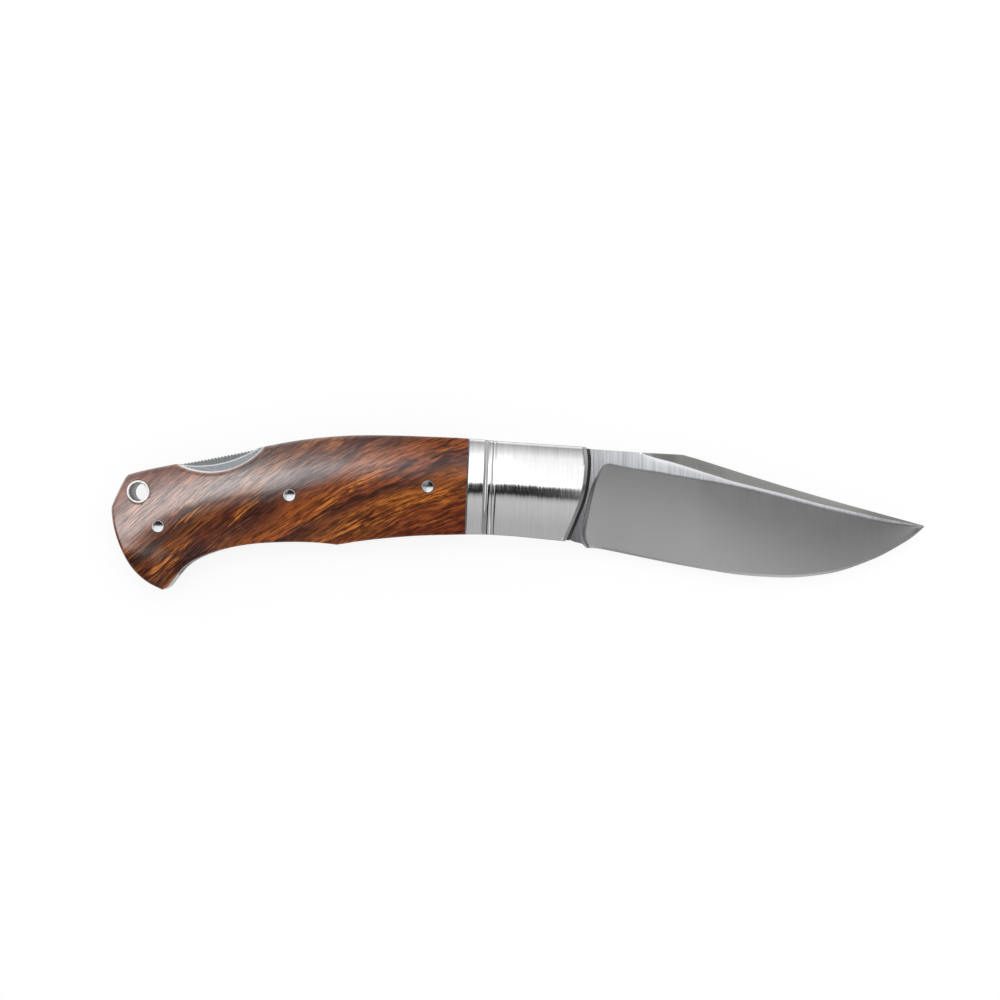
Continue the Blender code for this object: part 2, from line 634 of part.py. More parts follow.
def make_spring(material, root):
    """Build the leaf spring: rooted in the rear spacer, bearing up under the lock bar's rear arm."""
    pad_at = SPRING_PAD_SHARE * HANDLE_REACH
    pad = Vector((pad_at, bar_bottom(pad_at) - FIT_GAP - SPRING_LEAF / 2))
    mouth = Vector((SPRING_ROOT_X, SPRING_ROOT_HEIGHT))
    heel = mouth - Vector((SPRING_ROOT, 0))
    knee = mouth + Vector((SPRING_TOE, 0))
    toe = pad + Vector((SPRING_TOE, -SPRING_LEAF / 3))
    path = [heel, mouth] + smoothed([knee, knee.lerp(pad, 0.5), pad, toe], 4)
    outline = []
    for direction in (1, -1):
        line = path[::direction]
        for index, point in enumerate(line):
            ahead = line[min(index + 1, len(line) - 1)]
            behind = line[max(index - 1, 0)]
            along = (ahead - behind).normalized()
            outline.append(point + Vector((-along.y, along.x)) * (SPRING_LEAF / 2))
    spring = plate("back_spring", outline, STOCK_THICKNESS, 0, material, root, SPRING_AXIS)
    spring.location = (0, 0, 0)
    return spring


def tang_outline():
    """The tang's edge, from the spine round the lock face and the pivot to the kick."""
    top = Vector((-LOCK_FACE, bar_top(-LOCK_FACE)))
    foot = -LOCK_FACE - LOCK_UNDERCUT
    start = math.degrees(math.acos(foot / TANG_RADIUS))
    belly = scaled(TANG_BELLY_SHARES, BLADE_REACH, BLADE_SPAN)
    end = 360 + math.degrees(math.atan2(belly[-1].y, belly[-1].x))
    return [top] + arc(PIVOT, TANG_RADIUS, start, end, 22)[:-1] + belly[::-1]


def half_thickness(along):
    """Half thickness of the blade's flats, which thin towards the tip."""
    start = TAPER_START_SHARE * BLADE_REACH
    share = min(max((along - start) / (BLADE_REACH - start), 0), 1)
    return STOCK_HALF * (1 - (1 - TIP_THICKNESS_SHARE) * share)


def bevel_columns(grind, edge, full):
    """Points down the main bevel from the grind line to the edge, with the edge's own small bevel."""
    depth = max((edge - grind).length, MERGE_DISTANCE)
    shoulder = max(1 - EDGE_BEVEL / depth, 0.5)
    thin = min(EDGE_SHOULDER, full * 0.6)
    column = []
    for share in (0, 0.3, 0.6):
        along = share * shoulder
        column.append((grind.lerp(edge, along), full + (thin - full) * share))
    column.append((grind.lerp(edge, shoulder), thin))
    column.append((edge, EDGE_HALF))
    return column


def make_blade(material, pin):
    """Build the blade as one half, open at the middle plane, and mirror it."""
    stations = [share * BLADE_REACH for share in STATION_SHARES]
    start = SWEDGE_START_SHARE * BLADE_REACH
    columns = []
    corner = PLUNGE[0]
    kick = PLUNGE[-1]
    plunge = [PLUNGE[round(share * (len(PLUNGE) - 1))] for share in (0, 0.3, 0.6, 0.9, 1)]
    columns.append([(point, STOCK_HALF) for point in plunge])
    for share in (0, 0.5, 1):
        above = corner.x + PLUNGE_RUN + (start - corner.x - PLUNGE_RUN) * share
        below = kick.x + PLUNGE_RUN + (start - kick.x - PLUNGE_RUN) * share
        columns.append(bevel_columns(
            Vector((above, height_on(GRIND, above))), Vector((below, height_on(EDGE, below))), STOCK_HALF
        ))
    for along in stations:
        columns.append(bevel_columns(
            Vector((along, height_on(GRIND, along))), Vector((along, height_on(EDGE, along))),
            half_thickness(along),
        ))
    flats = []
    for along in (start, *stations):
        full = half_thickness(along)
        spine = Vector((along, height_on(SPINE, along)))
        swedge = Vector((along, height_on(SWEDGE, along)))
        flats.append([(spine, min(SPINE_HALF, full) if along > start else full), (swedge, full)])
    mesh = bpy.data.meshes.new("blade")
    bm = bmesh.new()
    bevel = [[bm.verts.new((p.x, p.y, z)) for p, z in column] for column in columns]
    upper = [[bm.verts.new((p.x, p.y, z)) for p, z in row] for row in flats]
    quads = strips(bevel) + strips(upper)
    quads += [
        (upper[index][1], upper[index + 1][1], bevel[index + 4][0], bevel[index + 3][0])
        for index in range(len(stations))
    ]
    tang = [bm.verts.new((p.x, p.y, STOCK_HALF)) for p in tang_outline()]
    lead = [
        bm.verts.new((p.x, p.y, STOCK_HALF)) for p in SPINE if p.x < start - MERGE_DISTANCE
    ]
    face = lead[::-1] + tang + bevel[0][::-1] + [column[0] for column in bevel[1:4]] + [upper[0][1]]
    bm.faces.new(face)
    for quad in quads:
        bm.faces.new(quad)
    rim = [upper[-1][1], *[row[0] for row in reversed(upper)], *lead[::-1], *tang]
    rim += [column[-1] for column in bevel] + [*bevel[-1][::-1][1:]]
    below = [bm.verts.new((vertex.co.x, vertex.co.y, 0)) for vertex in rim]
    for index in range(len(rim)):
        after = (index + 1) % len(rim)
        bm.faces.new((rim[index], rim[after], below[after], below[index]))
    bmesh.ops.remove_doubles(bm, verts=bm.verts, dist=MERGE_DISTANCE)
    bmesh.ops.recalc_face_normals(bm, faces=bm.faces)
    bm.to_mesh(mesh)
    bm.free()
    blade = object_from("blade", mesh, material, pin, PIVOT)
    mirror = blade.modifiers.new("other_side", "MIRROR")
    mirror.use_axis = (False, False, True)
    mirror.merge_threshold = MERGE_DISTANCE
    ends = (-STOCK_HALF - CUT_OVERRUN, STOCK_HALF + CUT_OVERRUN)
    bore(blade, PIVOT_RADIUS + FIT_GAP, *ends, PIVOT, pin)
    return blade


def strips(grid):
    """Quads between neighbouring rows of a grid of vertices."""
    quads = []
    for first, second in zip(grid, grid[1:]):
        for index in range(len(first) - 1):
            quads.append((first[index], first[index + 1], second[index + 1], second[index]))
    return quads


def empty_at(name, parent, at):
    """Add an empty on a joint's axis."""
    empty = bpy.data.objects.new(name, None)
    PARTS.objects.link(empty)
    empty.parent = parent
    empty.location = (at.x, at.y, 0)
    empty.empty_display_size = TUBE_OUTER
    return empty


def main():
    """Build the whole knife."""
    clear_scene()
    ground = finish("ground_steel", (0.50, 0.50, 0.51), 0.42, 1.0)
    satin = finish("satin_steel", (0.70, 0.70, 0.71), 0.30, 1.0)
    dark = finish("spring_steel", (0.36, 0.37, 0.38), 0.38, 1.0)
    bright = finish("bright_steel", (0.80, 0.80, 0.80), 0.15, 1.0)
    wood = finish("figured_wood", (0.30, 0.11, 0.04), 0.28, 0.0)

    knife = bpy.data.objects.new("knife", None)
    PARTS.objects.link(knife)
    knife.location = (0, -PIVOT_DROP, HALF_THICKNESS)

    for word, side in (("left", -1), ("right", 1)):
        make_liner("liner_" + word, side, dark, knife)
        make_bolster("bolster_" + word, side, satin, knife)
        make_scale("scale_" + word, side, wood, knife)
        ends = sorted((side * LINER_INNER, side * (HALF_THICKNESS - PIN_RECESS)))
        rod("scale_pin_front_" + word, SCALE_PIN_RADIUS, *ends, bright, knife, FRONT_PIN)
        rod("scale_pin_middle_" + word, SCALE_PIN_RADIUS, *ends, bright, knife, MIDDLE_PIN)
        ends = sorted((side * LINER_INNER, side * (COVER_INNER + BLIND_DEPTH - FIT_GAP)))
        rod("bolster_rivet_" + word, RIVET_RADIUS, *ends, satin, knife, RIVET)
    reach = HALF_THICKNESS - PIN_RECESS
    rod("scale_pin_rear", SCALE_PIN_RADIUS, -reach, reach, bright, knife, REAR_PIN)
    reach = COVER_INNER + BLIND_DEPTH - FIT_GAP
    rod("pivot_pin", PIVOT_RADIUS, -reach, reach, bright, knife, PIVOT)
    rod("rocker_pin", ROCKER_PIN_RADIUS, -LINER_OUTER, LINER_OUTER, bright, knife, ROCKER)
    make_spacer(dark, knife)
    make_tube(bright, knife)

    make_blade(ground, empty_at("blade_fold", knife, PIVOT))
    make_lock_bar(dark, empty_at("lock_bar_rock", knife, ROCKER))
    make_spring(dark, empty_at("back_spring_flex", knife, SPRING_AXIS))


main()
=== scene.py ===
"""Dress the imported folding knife: polished wood scales, satin bolsters, a ground blade and a plain studio.

Metres. +X runs to the blade's tip, +Y to the knife's back, +Z up through its thickness. Outlines are
measured from the blade's pivot in the middle plane, and placed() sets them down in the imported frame.
"""
import logging
import math
from dataclasses import dataclass, field
from enum import Enum

import bmesh
import bpy
import numpy as np
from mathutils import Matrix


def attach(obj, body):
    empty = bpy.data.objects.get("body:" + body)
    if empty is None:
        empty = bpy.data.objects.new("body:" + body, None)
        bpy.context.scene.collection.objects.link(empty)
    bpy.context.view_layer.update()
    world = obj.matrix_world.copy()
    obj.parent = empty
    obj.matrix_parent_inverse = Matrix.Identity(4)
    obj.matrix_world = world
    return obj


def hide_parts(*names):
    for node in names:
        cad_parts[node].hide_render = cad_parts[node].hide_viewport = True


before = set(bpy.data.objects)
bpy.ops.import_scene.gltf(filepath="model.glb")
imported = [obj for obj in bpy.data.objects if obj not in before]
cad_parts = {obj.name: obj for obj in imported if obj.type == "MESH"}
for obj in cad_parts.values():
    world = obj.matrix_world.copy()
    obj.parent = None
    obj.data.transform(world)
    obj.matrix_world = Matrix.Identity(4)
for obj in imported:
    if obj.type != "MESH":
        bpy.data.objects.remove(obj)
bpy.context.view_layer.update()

LOG = logging.getLogger("knife")

PIVOT_DROP = 0.0022908      # the blade's pivot lies this far under the frame's origin, along Y
HALF_THICKNESS = 0.0070     # middle plane to either crown
DRILL_REACH = 0.02          # a drill's ends, well past both faces
MERGE_DISTANCE = 1e-6       # points nearer than this are one
TINY = 1e-9                 # keeps a length that divides from being nothing
MITRE_LIMIT = 0.5           # a corner's inset grows to one over this, at most
RIGHT_ANGLE = math.pi / 2

# Outlines as shares of the handle's or the blade's reach and span.
BACK_SHARES = np.array((
    (-0.963, 0.263), (-0.931, 0.301), (-0.877, 0.348), (-0.797, 0.411), (-0.724, 0.471), (-0.651, 0.536),
    (-0.597, 0.580), (-0.542, 0.614), (-0.487, 0.635), (-0.433, 0.645), (-0.360, 0.643), (-0.287, 0.633),
    (-0.196, 0.616), (-0.105, 0.585), (-0.014, 0.558), (0.082, 0.531), (0.114, 0.516),
))
POMMEL_SHARES = np.array((
    (-0.963, 0.263), (-0.972, 0.212), (-0.985, 0.097), (-0.994, 0.010), (-0.999, -0.058),
    (-0.997, -0.145), (-0.992, -0.251), (-0.980, -0.406), (-0.962, -0.560), (-0.942, -0.676),
    (-0.915, -0.775), (-0.883, -0.848),
))
REAR_BELLY_SHARES = np.array((
    (-0.883, -0.848), (-0.872, -0.819), (-0.861, -0.763), (-0.847, -0.689), (-0.833, -0.626),
    (-0.813, -0.565), (-0.779, -0.501), (-0.733, -0.444), (-0.670, -0.402), (-0.597, -0.387),
    (-0.542, -0.391), (-0.510, -0.402), (-0.487, -0.414),
))
FRONT_BELLY_SHARES = np.array((
    (-0.487, -0.414), (-0.465, -0.400), (-0.433, -0.379), (-0.378, -0.352), (-0.305, -0.328),
    (-0.232, -0.318), (-0.159, -0.315), (-0.087, -0.331), (-0.014, -0.361), (0.034, -0.382),
    (0.091, -0.410),
))
NOSE_SHARES = np.array(((0.971, 0.531), (1.000, 0.338), (0.898, 0.068), (0.674, -0.155), (0.405, -0.382)))
CROWN_SHARES = np.array((
    (0.114, 0.063), (0.000, 0.092), (-0.091, 0.126), (-0.182, 0.145), (-0.278, 0.147), (-0.387, 0.140),
    (-0.478, 0.121), (-0.594, 0.063), (-0.706, 0.019), (-0.786, -0.048), (-0.842, -0.126),
    (-0.893, -0.243), (-0.918, -0.348), (-0.927, -0.463),
))
SPINE_SHARES = np.array((
    (-0.007, 0.4423), (0.104, 0.412), (0.242, 0.384), (0.354, 0.367), (0.389, 0.339), (0.454, 0.279),
    (0.540, 0.199), (0.625, 0.123), (0.710, 0.050), (0.795, -0.021), (0.882, -0.090), (0.945, -0.140),
    (1.001, -0.186),
))
SWEDGE_SHARES = np.array((
    (0.242, 0.384), (0.283, 0.343), (0.334, 0.302), (0.398, 0.243), (0.451, 0.195), (0.480, 0.167),
    (0.544, 0.119), (0.629, 0.058), (0.715, -0.010), (0.800, -0.069), (0.885, -0.124), (0.951, -0.160),
    (1.001, -0.190),
))
GRIND_SHARES = np.array((
    (0.149, 0.302), (0.163, 0.299), (0.219, 0.267), (0.283, 0.241), (0.334, 0.214), (0.398, 0.182),
    (0.451, 0.157), (0.544, 0.100), (0.629, 0.036), (0.715, -0.030), (0.800, -0.088), (0.885, -0.142),
    (0.951, -0.173), (1.001, -0.194),
))
EDGE_SHARES = np.array((
    (0.097, -0.357), (0.134, -0.365), (0.198, -0.402), (0.262, -0.441), (0.347, -0.490), (0.433, -0.534),
    (0.497, -0.563), (0.561, -0.580), (0.625, -0.588), (0.667, -0.585), (0.710, -0.572), (0.753, -0.553),
    (0.795, -0.521), (0.838, -0.476), (0.882, -0.423), (0.924, -0.357), (0.967, -0.280), (1.001, -0.199),
))
PLUNGE_SHARES = np.array((
    (0.149, 0.302), (0.138, 0.272), (0.127, 0.217), (0.112, 0.138), (0.096, -0.039), (0.086, -0.187),
    (0.085, -0.280), (0.097, -0.357),
))
TANG_BELLY_SHARES = np.array(((0.023, -0.265), (0.048, -0.289), (0.064, -0.309), (0.086, -0.325)))


class Tint(Enum):
    """Named colours of the wood's figure."""

    NEAR_BLACK = (0.050, 0.022, 0.013)
    UMBER = (0.080, 0.025, 0.014)
    RUST = (0.118, 0.033, 0.013)
    RUSSET = (0.160, 0.038, 0.011)
    AMBER = (0.315, 0.096, 0.020)


# ovals of the wood's figure: place and half sizes along and across the grain in millimetres, strength, tint
FIGURE_TINTS = (
    ((-79.5, -7.8), (9.0, 3.4), 0.85, Tint.RUST), ((-61.5, -5.6), (9.0, 3.2), 0.80, Tint.AMBER),
    ((-69.0, -9.6), (6.0, 1.6), 0.70, Tint.AMBER), ((-60.0, -9.3), (4.5, 2.2), 0.75, Tint.UMBER),
    ((-70.0, -7.0), (6.0, 2.0), 0.60, Tint.RUST), ((-67.0, 0.6), (9.0, 2.2), 0.75, Tint.NEAR_BLACK),
    ((-97.5, -14.6), (6.0, 1.7), 0.85, Tint.NEAR_BLACK), ((-88.5, -20.0), (7.0, 2.0), 0.75, Tint.UMBER),
    ((-26.0, -8.8), (12.0, 3.2), 0.80, Tint.RUSSET), ((-49.0, -10.3), (15.0, 1.8), 0.75, Tint.RUSSET),
    ((-86.0, -11.0), (7.0, 1.6), 0.60, Tint.RUST),
)
FIGURE_GILT = (
    ((-41.5, -5.0), (15.0, 3.6)), ((-25.0, 1.0), (9.0, 1.9)), ((-85.0, -3.4), (8.0, 1.5)),
    ((-91.5, -16.0), (7.5, 2.6)), ((-47.0, 2.5), (12.0, 1.6)), ((-73.5, -3.5), (6.0, 1.0)),
)


class Side(Enum):
    """The two sides of the handle, as the sign of their height over the middle plane."""

    RIGHT = 1
    LEFT = -1

    @property
    def word(self) -> str:
        """The side's name in lower case."""
        return self.name.lower()


def hermite(points: np.ndarray, per: int = 12) -> np.ndarray:
    """Run a smooth curve through points.

    Each span is a cubic whose end slopes are half the step between the neighbours of its end points.

    Args:
        points: Places in order, one row each.
        per: Pieces between each two places.

    Returns:
        The curve's points, one row each.
    """
    slopes = np.gradient(points, axis=0)
    t = (np.arange(per) / per)[None, :, None]
    start, end = points[:-1, None], points[1:, None]
    lead, trail = slopes[:-1, None], slopes[1:, None]
    path = (
        start * (2 * t**3 - 3 * t**2 + 1) + lead * (t**3 - 2 * t**2 + t)
        + end * (3 * t**2 - 2 * t**3) + trail * (t**3 - t**2)
    )
    return np.vstack((path.reshape(-1, points.shape[1]), points[-1:]))


def height_on(line: np.ndarray, along: np.ndarray | float) -> np.ndarray:
    """Height of a line at places along the knife, straight between its points."""
    order = np.argsort(line[:, 0])
    return np.interp(along, line[order, 0], line[order, 1])


def along_path(path: np.ndarray, places: np.ndarray) -> np.ndarray:
    """Points of a path at given distances walked along it.

    Args:
        path: The path's points.
        places: Distances from its start.

    Returns:
        One point for each distance.
    """
    walked = np.concatenate(([0.0], np.cumsum(np.linalg.norm(np.diff(path, axis=0), axis=1))))
    return np.stack([np.interp(places, walked, path[:, axis]) for axis in range(path.shape[1])], axis=1)


def length_to(path: np.ndarray, point: np.ndarray) -> float:
    """Distance walked along a path to the path's point nearest to a place."""
    walked = np.concatenate(([0.0], np.cumsum(np.linalg.norm(np.diff(path, axis=0), axis=1))))
    return float(walked[np.argmin(np.linalg.norm(path - point, axis=1))])


def smooth_step(value: np.ndarray) -> np.ndarray:
    """Go from 0 to 1 as the value does, level at both ends: 3v^2 - 2v^3 of the value held in 0 to 1."""
    held = np.clip(value, 0, 1)
    return held * held * (3 - 2 * held)


def grid_quads(rows: int, columns: int, ring: bool = False, start: int = 0) -> np.ndarray:
    """Corner numbers of the quads of a grid of vertices that is stored row after row.

    Args:
        rows: Rows of vertices.
        columns: Vertices in a row.
        ring: Whether each row closes on itself.
        start: Number of the grid's first vertex.

    Returns:
        One row of four corner numbers for each quad.
    """
    number = start + np.arange(rows * columns).reshape(rows, columns)
    after = np.roll(number, -1, axis=1) if ring else number[:, 1:]
    here = number if ring else number[:, :-1]
    quads = np.stack((here[:-1], after[:-1], after[1:], here[1:]), axis=-1)
    return quads.reshape(-1, 4)


def placed(points: np.ndarray) -> np.ndarray:
    """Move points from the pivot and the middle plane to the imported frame."""
    return points + np.array((0.0, -PIVOT_DROP, HALF_THICKNESS))


def read_points(piece: bpy.types.Object) -> np.ndarray:
    """Read a piece's vertices.

    Args:
        piece: The piece.

    Returns:
        One row of x, y, z for each vertex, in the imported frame.
    """
    places = np.empty(len(piece.data.vertices) * 3, dtype=np.float32)
    piece.data.vertices.foreach_get("co", places)
    return places.reshape(-1, 3)


def make_piece(
    name: str, points: np.ndarray, faces: list[list[int]], zones: np.ndarray | None = None,
    sharp: float = 30.0
) -> bpy.types.Object:
    """Put points and faces into a closed, smooth mesh object at the origin.

    Args:
        name: The object's name.
        points: Places from the pivot, one row each.
        faces: Corner numbers of each face.
        zones: Material number of each face, or None for one material.
        sharp: Edges that turn more than this many degrees stay crisp.

    Returns:
        The new object, its doubles merged and its faces outwards.
    """
    mesh = bpy.data.meshes.new(name)
    mesh.from_pydata(placed(points).tolist(), [], faces)
    if zones is not None:
        mesh.polygons.foreach_set("material_index", np.asarray(zones, dtype=np.int32))
    bm = bmesh.new()
    bm.from_mesh(mesh)
    bmesh.ops.remove_doubles(bm, verts=bm.verts, dist=MERGE_DISTANCE)
    bmesh.ops.recalc_face_normals(bm, faces=bm.faces)
    bm.to_mesh(mesh)
    bm.free()
    mesh.shade_smooth()
    mesh.set_sharp_from_angle(angle=math.radians(sharp))
    piece = bpy.data.objects.new(name, mesh)
    bpy.context.scene.collection.objects.link(piece)
    return piece


def turned(name: str, profile: np.ndarray, centre: np.ndarray, steps: int = 96) -> bpy.types.Object:
    """Turn a profile about an axis along Z.

    Each point of the profile, at radius r and height z, becomes the ring (r cos a, r sin a, z).

    Args:
        name: The object's name.
        profile: Radius and height of each point, from the middle plane; it starts and ends on the axis,
            or closes on itself.
        centre: The axis's place, from the pivot.
        steps: Points in a ring.

    Returns:
        The turned object.
    """
    angle = np.linspace(0, 2 * math.pi, steps, endpoint=False)[None, :]
    radius, height = profile[:, :1], profile[:, 1:]
    rings = np.stack((
        centre[0] + radius * np.cos(angle), centre[1] + radius * np.sin(angle), height + 0 * angle
    ), axis=-1)
    faces = grid_quads(len(profile), steps, ring=True).tolist()
    return make_piece(name, rings.reshape(-1, 3), faces, sharp=40)


def drilled(piece: bpy.types.Object, centre: np.ndarray, radius: float) -> bpy.types.Object:
    """Cut a round hole along Z right through a piece, and keep the result in its mesh.

    Args:
        piece: The piece to cut.
        centre: The hole's centre, from the pivot.
        radius: The hole's radius.

    Returns:
        The same object, cut.
    """
    wall = np.array(((0, -DRILL_REACH), (radius, -DRILL_REACH), (radius, DRILL_REACH), (0, DRILL_REACH)))
    cutter = turned("drill", wall, centre)
    boolean = piece.modifiers.new("drill", "BOOLEAN")
    boolean.object = cutter
    boolean.solver = "EXACT"
    cut = bpy.data.meshes.new_from_object(piece.evaluated_get(bpy.context.evaluated_depsgraph_get()))
    piece.modifiers.clear()
    whole, piece.data = piece.data, cut
    bpy.data.meshes.remove(whole)
    bpy.data.objects.remove(cutter, do_unlink=True)
    return piece


def slab(
    name: str, outline: np.ndarray, low: float, high: float, bevel: float, rim: float = 0.0
) -> bpy.types.Object:
    """Carry a bevelled edge profile round a flat outline, and close both faces.

    The profile is (inset by the bevel, low), (0, low + bevel), (0, high - bevel), (inset, high), with a
    further step in by the rim on both faces. The inset runs along the mean of the two neighbouring edges'
    inward normals, longer where they meet at an angle.

    Args:
        name: The object's name.
        outline: The outline's points, from the pivot.
        low: Height of the lower face over the middle plane.
        high: Height of the upper face.
        bevel: Width of the bevel.
        rim: Width of a flat border inside the bevel, or 0 for none.

    Returns:
        The plate.
    """
    outline = outline[np.linalg.norm(outline - np.roll(outline, 1, axis=0), axis=1) > MERGE_DISTANCE]
    after = np.roll(outline, -1, axis=0)
    ahead = after - outline
    turn = math.copysign(1.0, np.sum(outline[:, 0] * after[:, 1] - after[:, 0] * outline[:, 1]))
    normal = np.stack((-ahead[:, 1], ahead[:, 0]), axis=1) * turn
    normal /= np.linalg.norm(normal, axis=1, keepdims=True)
    mean = normal + np.roll(normal, 1, axis=0)
    mean /= np.maximum(np.linalg.norm(mean, axis=1, keepdims=True), TINY)
    mean /= np.maximum(np.sum(mean * normal, axis=1, keepdims=True), MITRE_LIMIT)
    inset, inner = outline + mean * bevel, outline + mean * (bevel + rim)
    rows = [(inset, low), (outline, low + bevel), (outline, high - bevel), (inset, high)]
    if rim:
        rows = [(inner, low), *rows, (inner, high)]
    points = np.stack([np.column_stack((line, np.full(len(line), level))) for line, level in rows])
    count = len(outline)
    faces = grid_quads(len(rows), count, ring=True).tolist()
    faces += [list(range(count)), list(range((len(rows) - 1) * count, len(rows) * count))]
    return make_piece(name, points.reshape(-1, 3), faces)


def cover(piece: bpy.types.Object, *materials: bpy.types.Material) -> bpy.types.Object:
    """Give a new piece its materials.

    Args:
        piece: The piece.
        *materials: Its materials, in the order of its zones.

    Returns:
        The same piece.
    """
    for material in materials:
        piece.data.materials.append(material)
    return piece


def recover(node: bpy.types.Object, material: bpy.types.Material) -> None:
    """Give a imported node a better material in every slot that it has.

    Args:
        node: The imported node's object.
        material: The material.
    """
    if not node.material_slots:
        node.data.materials.append(material)
    for slot in node.material_slots:
        slot.material = material


@dataclass(frozen=True)
class ThumbCut:
    """A round cut into the handle's back, where the thumb presses the lock bar."""

    radius: float
    depth: float
    share: float


@dataclass(frozen=True)
class Handle:
    """Sizes and lines of the handle that its pieces share."""

    reach: float = 0.1055
    span: float = 0.0249
    nose: float = 0.00895
    joint: float = 0.0201
    lean: float = 0.038
    fit: float = 0.0003
    stock_half: float = 0.0015
    liner_inner: float = 0.0018
    liner_outer: float = 0.0028
    cover_inner: float = 0.0031
    crown_radius: float = 0.0300
    crown_flat: float = 0.0006
    crown_stride: int = 3
    edge_round: float = 0.0008
    spring_root: float = -0.091585
    lock_face: float = 0.0006
    undercut: float = 0.0003
    tube_share: float = -0.9365
    tube_height_share: float = 0.0975
    tube_hole: float = 0.00284
    scoop: ThumbCut = ThumbCut(radius=0.0167, depth=0.0040, share=-0.7514)
    liner_cut: ThumbCut = ThumbCut(radius=0.0272, depth=0.00185, share=-0.760)
    back: np.ndarray = field(init=False)
    pommel: np.ndarray = field(init=False)
    rear_belly: np.ndarray = field(init=False)
    belly: np.ndarray = field(init=False)
    nose_line: np.ndarray = field(init=False)
    crown: np.ndarray = field(init=False)

    def __post_init__(self) -> None:
        """Work out the smooth lines from their tables of shares."""
        unit = np.array((self.reach, self.span))
        rear = hermite(REAR_BELLY_SHARES * unit)
        lines = {
            "back": hermite(BACK_SHARES * unit),
            "pommel": hermite(POMMEL_SHARES * unit),
            "rear_belly": rear,
            "belly": np.vstack((rear, hermite(FRONT_BELLY_SHARES * unit)[1:])),
            "nose_line": hermite(NOSE_SHARES * np.array((self.nose, self.span))),
            "crown": hermite(CROWN_SHARES * unit),
        }
        for word, line in lines.items():
            object.__setattr__(self, word, line)

    @property
    def tube(self) -> np.ndarray:
        """Centre of the lanyard tube."""
        return np.array((self.tube_share * self.reach, self.tube_height_share * self.span))

    def crown_height(self, place: np.ndarray) -> np.ndarray:
        """Height of a cover's face over the middle plane.

        A round crown of one radius falls away on both sides of a narrow flat along the crown line:
        height = crown - (R - sqrt(R^2 - d^2)), where d is the distance beyond the flat.

        Args:
            place: Places from the pivot, in an array whose last axis is x, y.

        Returns:
            One height for each place.
        """
        flat = place.reshape(-1, 2)
        stride = self.crown_stride
        start, step = self.crown[:-1:stride], self.crown[stride::stride] - self.crown[:-1:stride]
        away = np.full(len(flat), np.inf)
        for first, way in zip(start, step):
            share = np.clip(((flat - first) @ way) / (way @ way), 0, 1)
            away = np.minimum(away, np.linalg.norm(flat - first - share[:, None] * way, axis=1))
        beyond = np.maximum(away - self.crown_flat, 0)
        drop = self.crown_radius - np.sqrt(self.crown_radius**2 - beyond**2)
        return (HALF_THICKNESS - drop).reshape(place.shape[:-1])

    def cut_centre(self, cut: ThumbCut) -> np.ndarray:
        """Find the centre of a round cut: square out from its chord over the handle's back.

        Args:
            cut: The cut.

        Returns:
            The centre, from the pivot.
        """
        along = cut.share * self.reach
        half = math.sqrt(cut.radius**2 - (cut.radius - cut.depth) ** 2)
        left = np.array((along - half, height_on(self.back, along - half)))
        right = np.array((along + half, height_on(self.back, along + half)))
        chord = (right - left) / np.linalg.norm(right - left)
        return (left + right) / 2 + np.array((-chord[1], chord[0])) * (cut.radius - cut.depth)

    def cut_back(self, along: np.ndarray, cut: ThumbCut) -> np.ndarray:
        """Take a round cut out of the back: each height is the lower of the back's and the cut's arc.

        Args:
            along: Places along the handle.
            cut: The cut.

        Returns:
            The back's points at those places.
        """
        centre = self.cut_centre(cut)
        reach = np.clip(cut.radius**2 - (along - centre[0]) ** 2, 0, None)
        arc = np.where(reach > 0, centre[1] - np.sqrt(reach), np.inf)
        return np.column_stack((along, np.minimum(height_on(self.back, along), arc)))

    def joint_at(self, up: np.ndarray | float, step: float = 0.0) -> np.ndarray | float:
        """Place of the joint line, or of a line ahead of it, at a height."""
        return -self.joint + step + self.lean * up

    def on_crown(self, along: float) -> np.ndarray:
        """The crown line's point at a place along the handle."""
        return np.array((along, float(height_on(self.crown, along))))


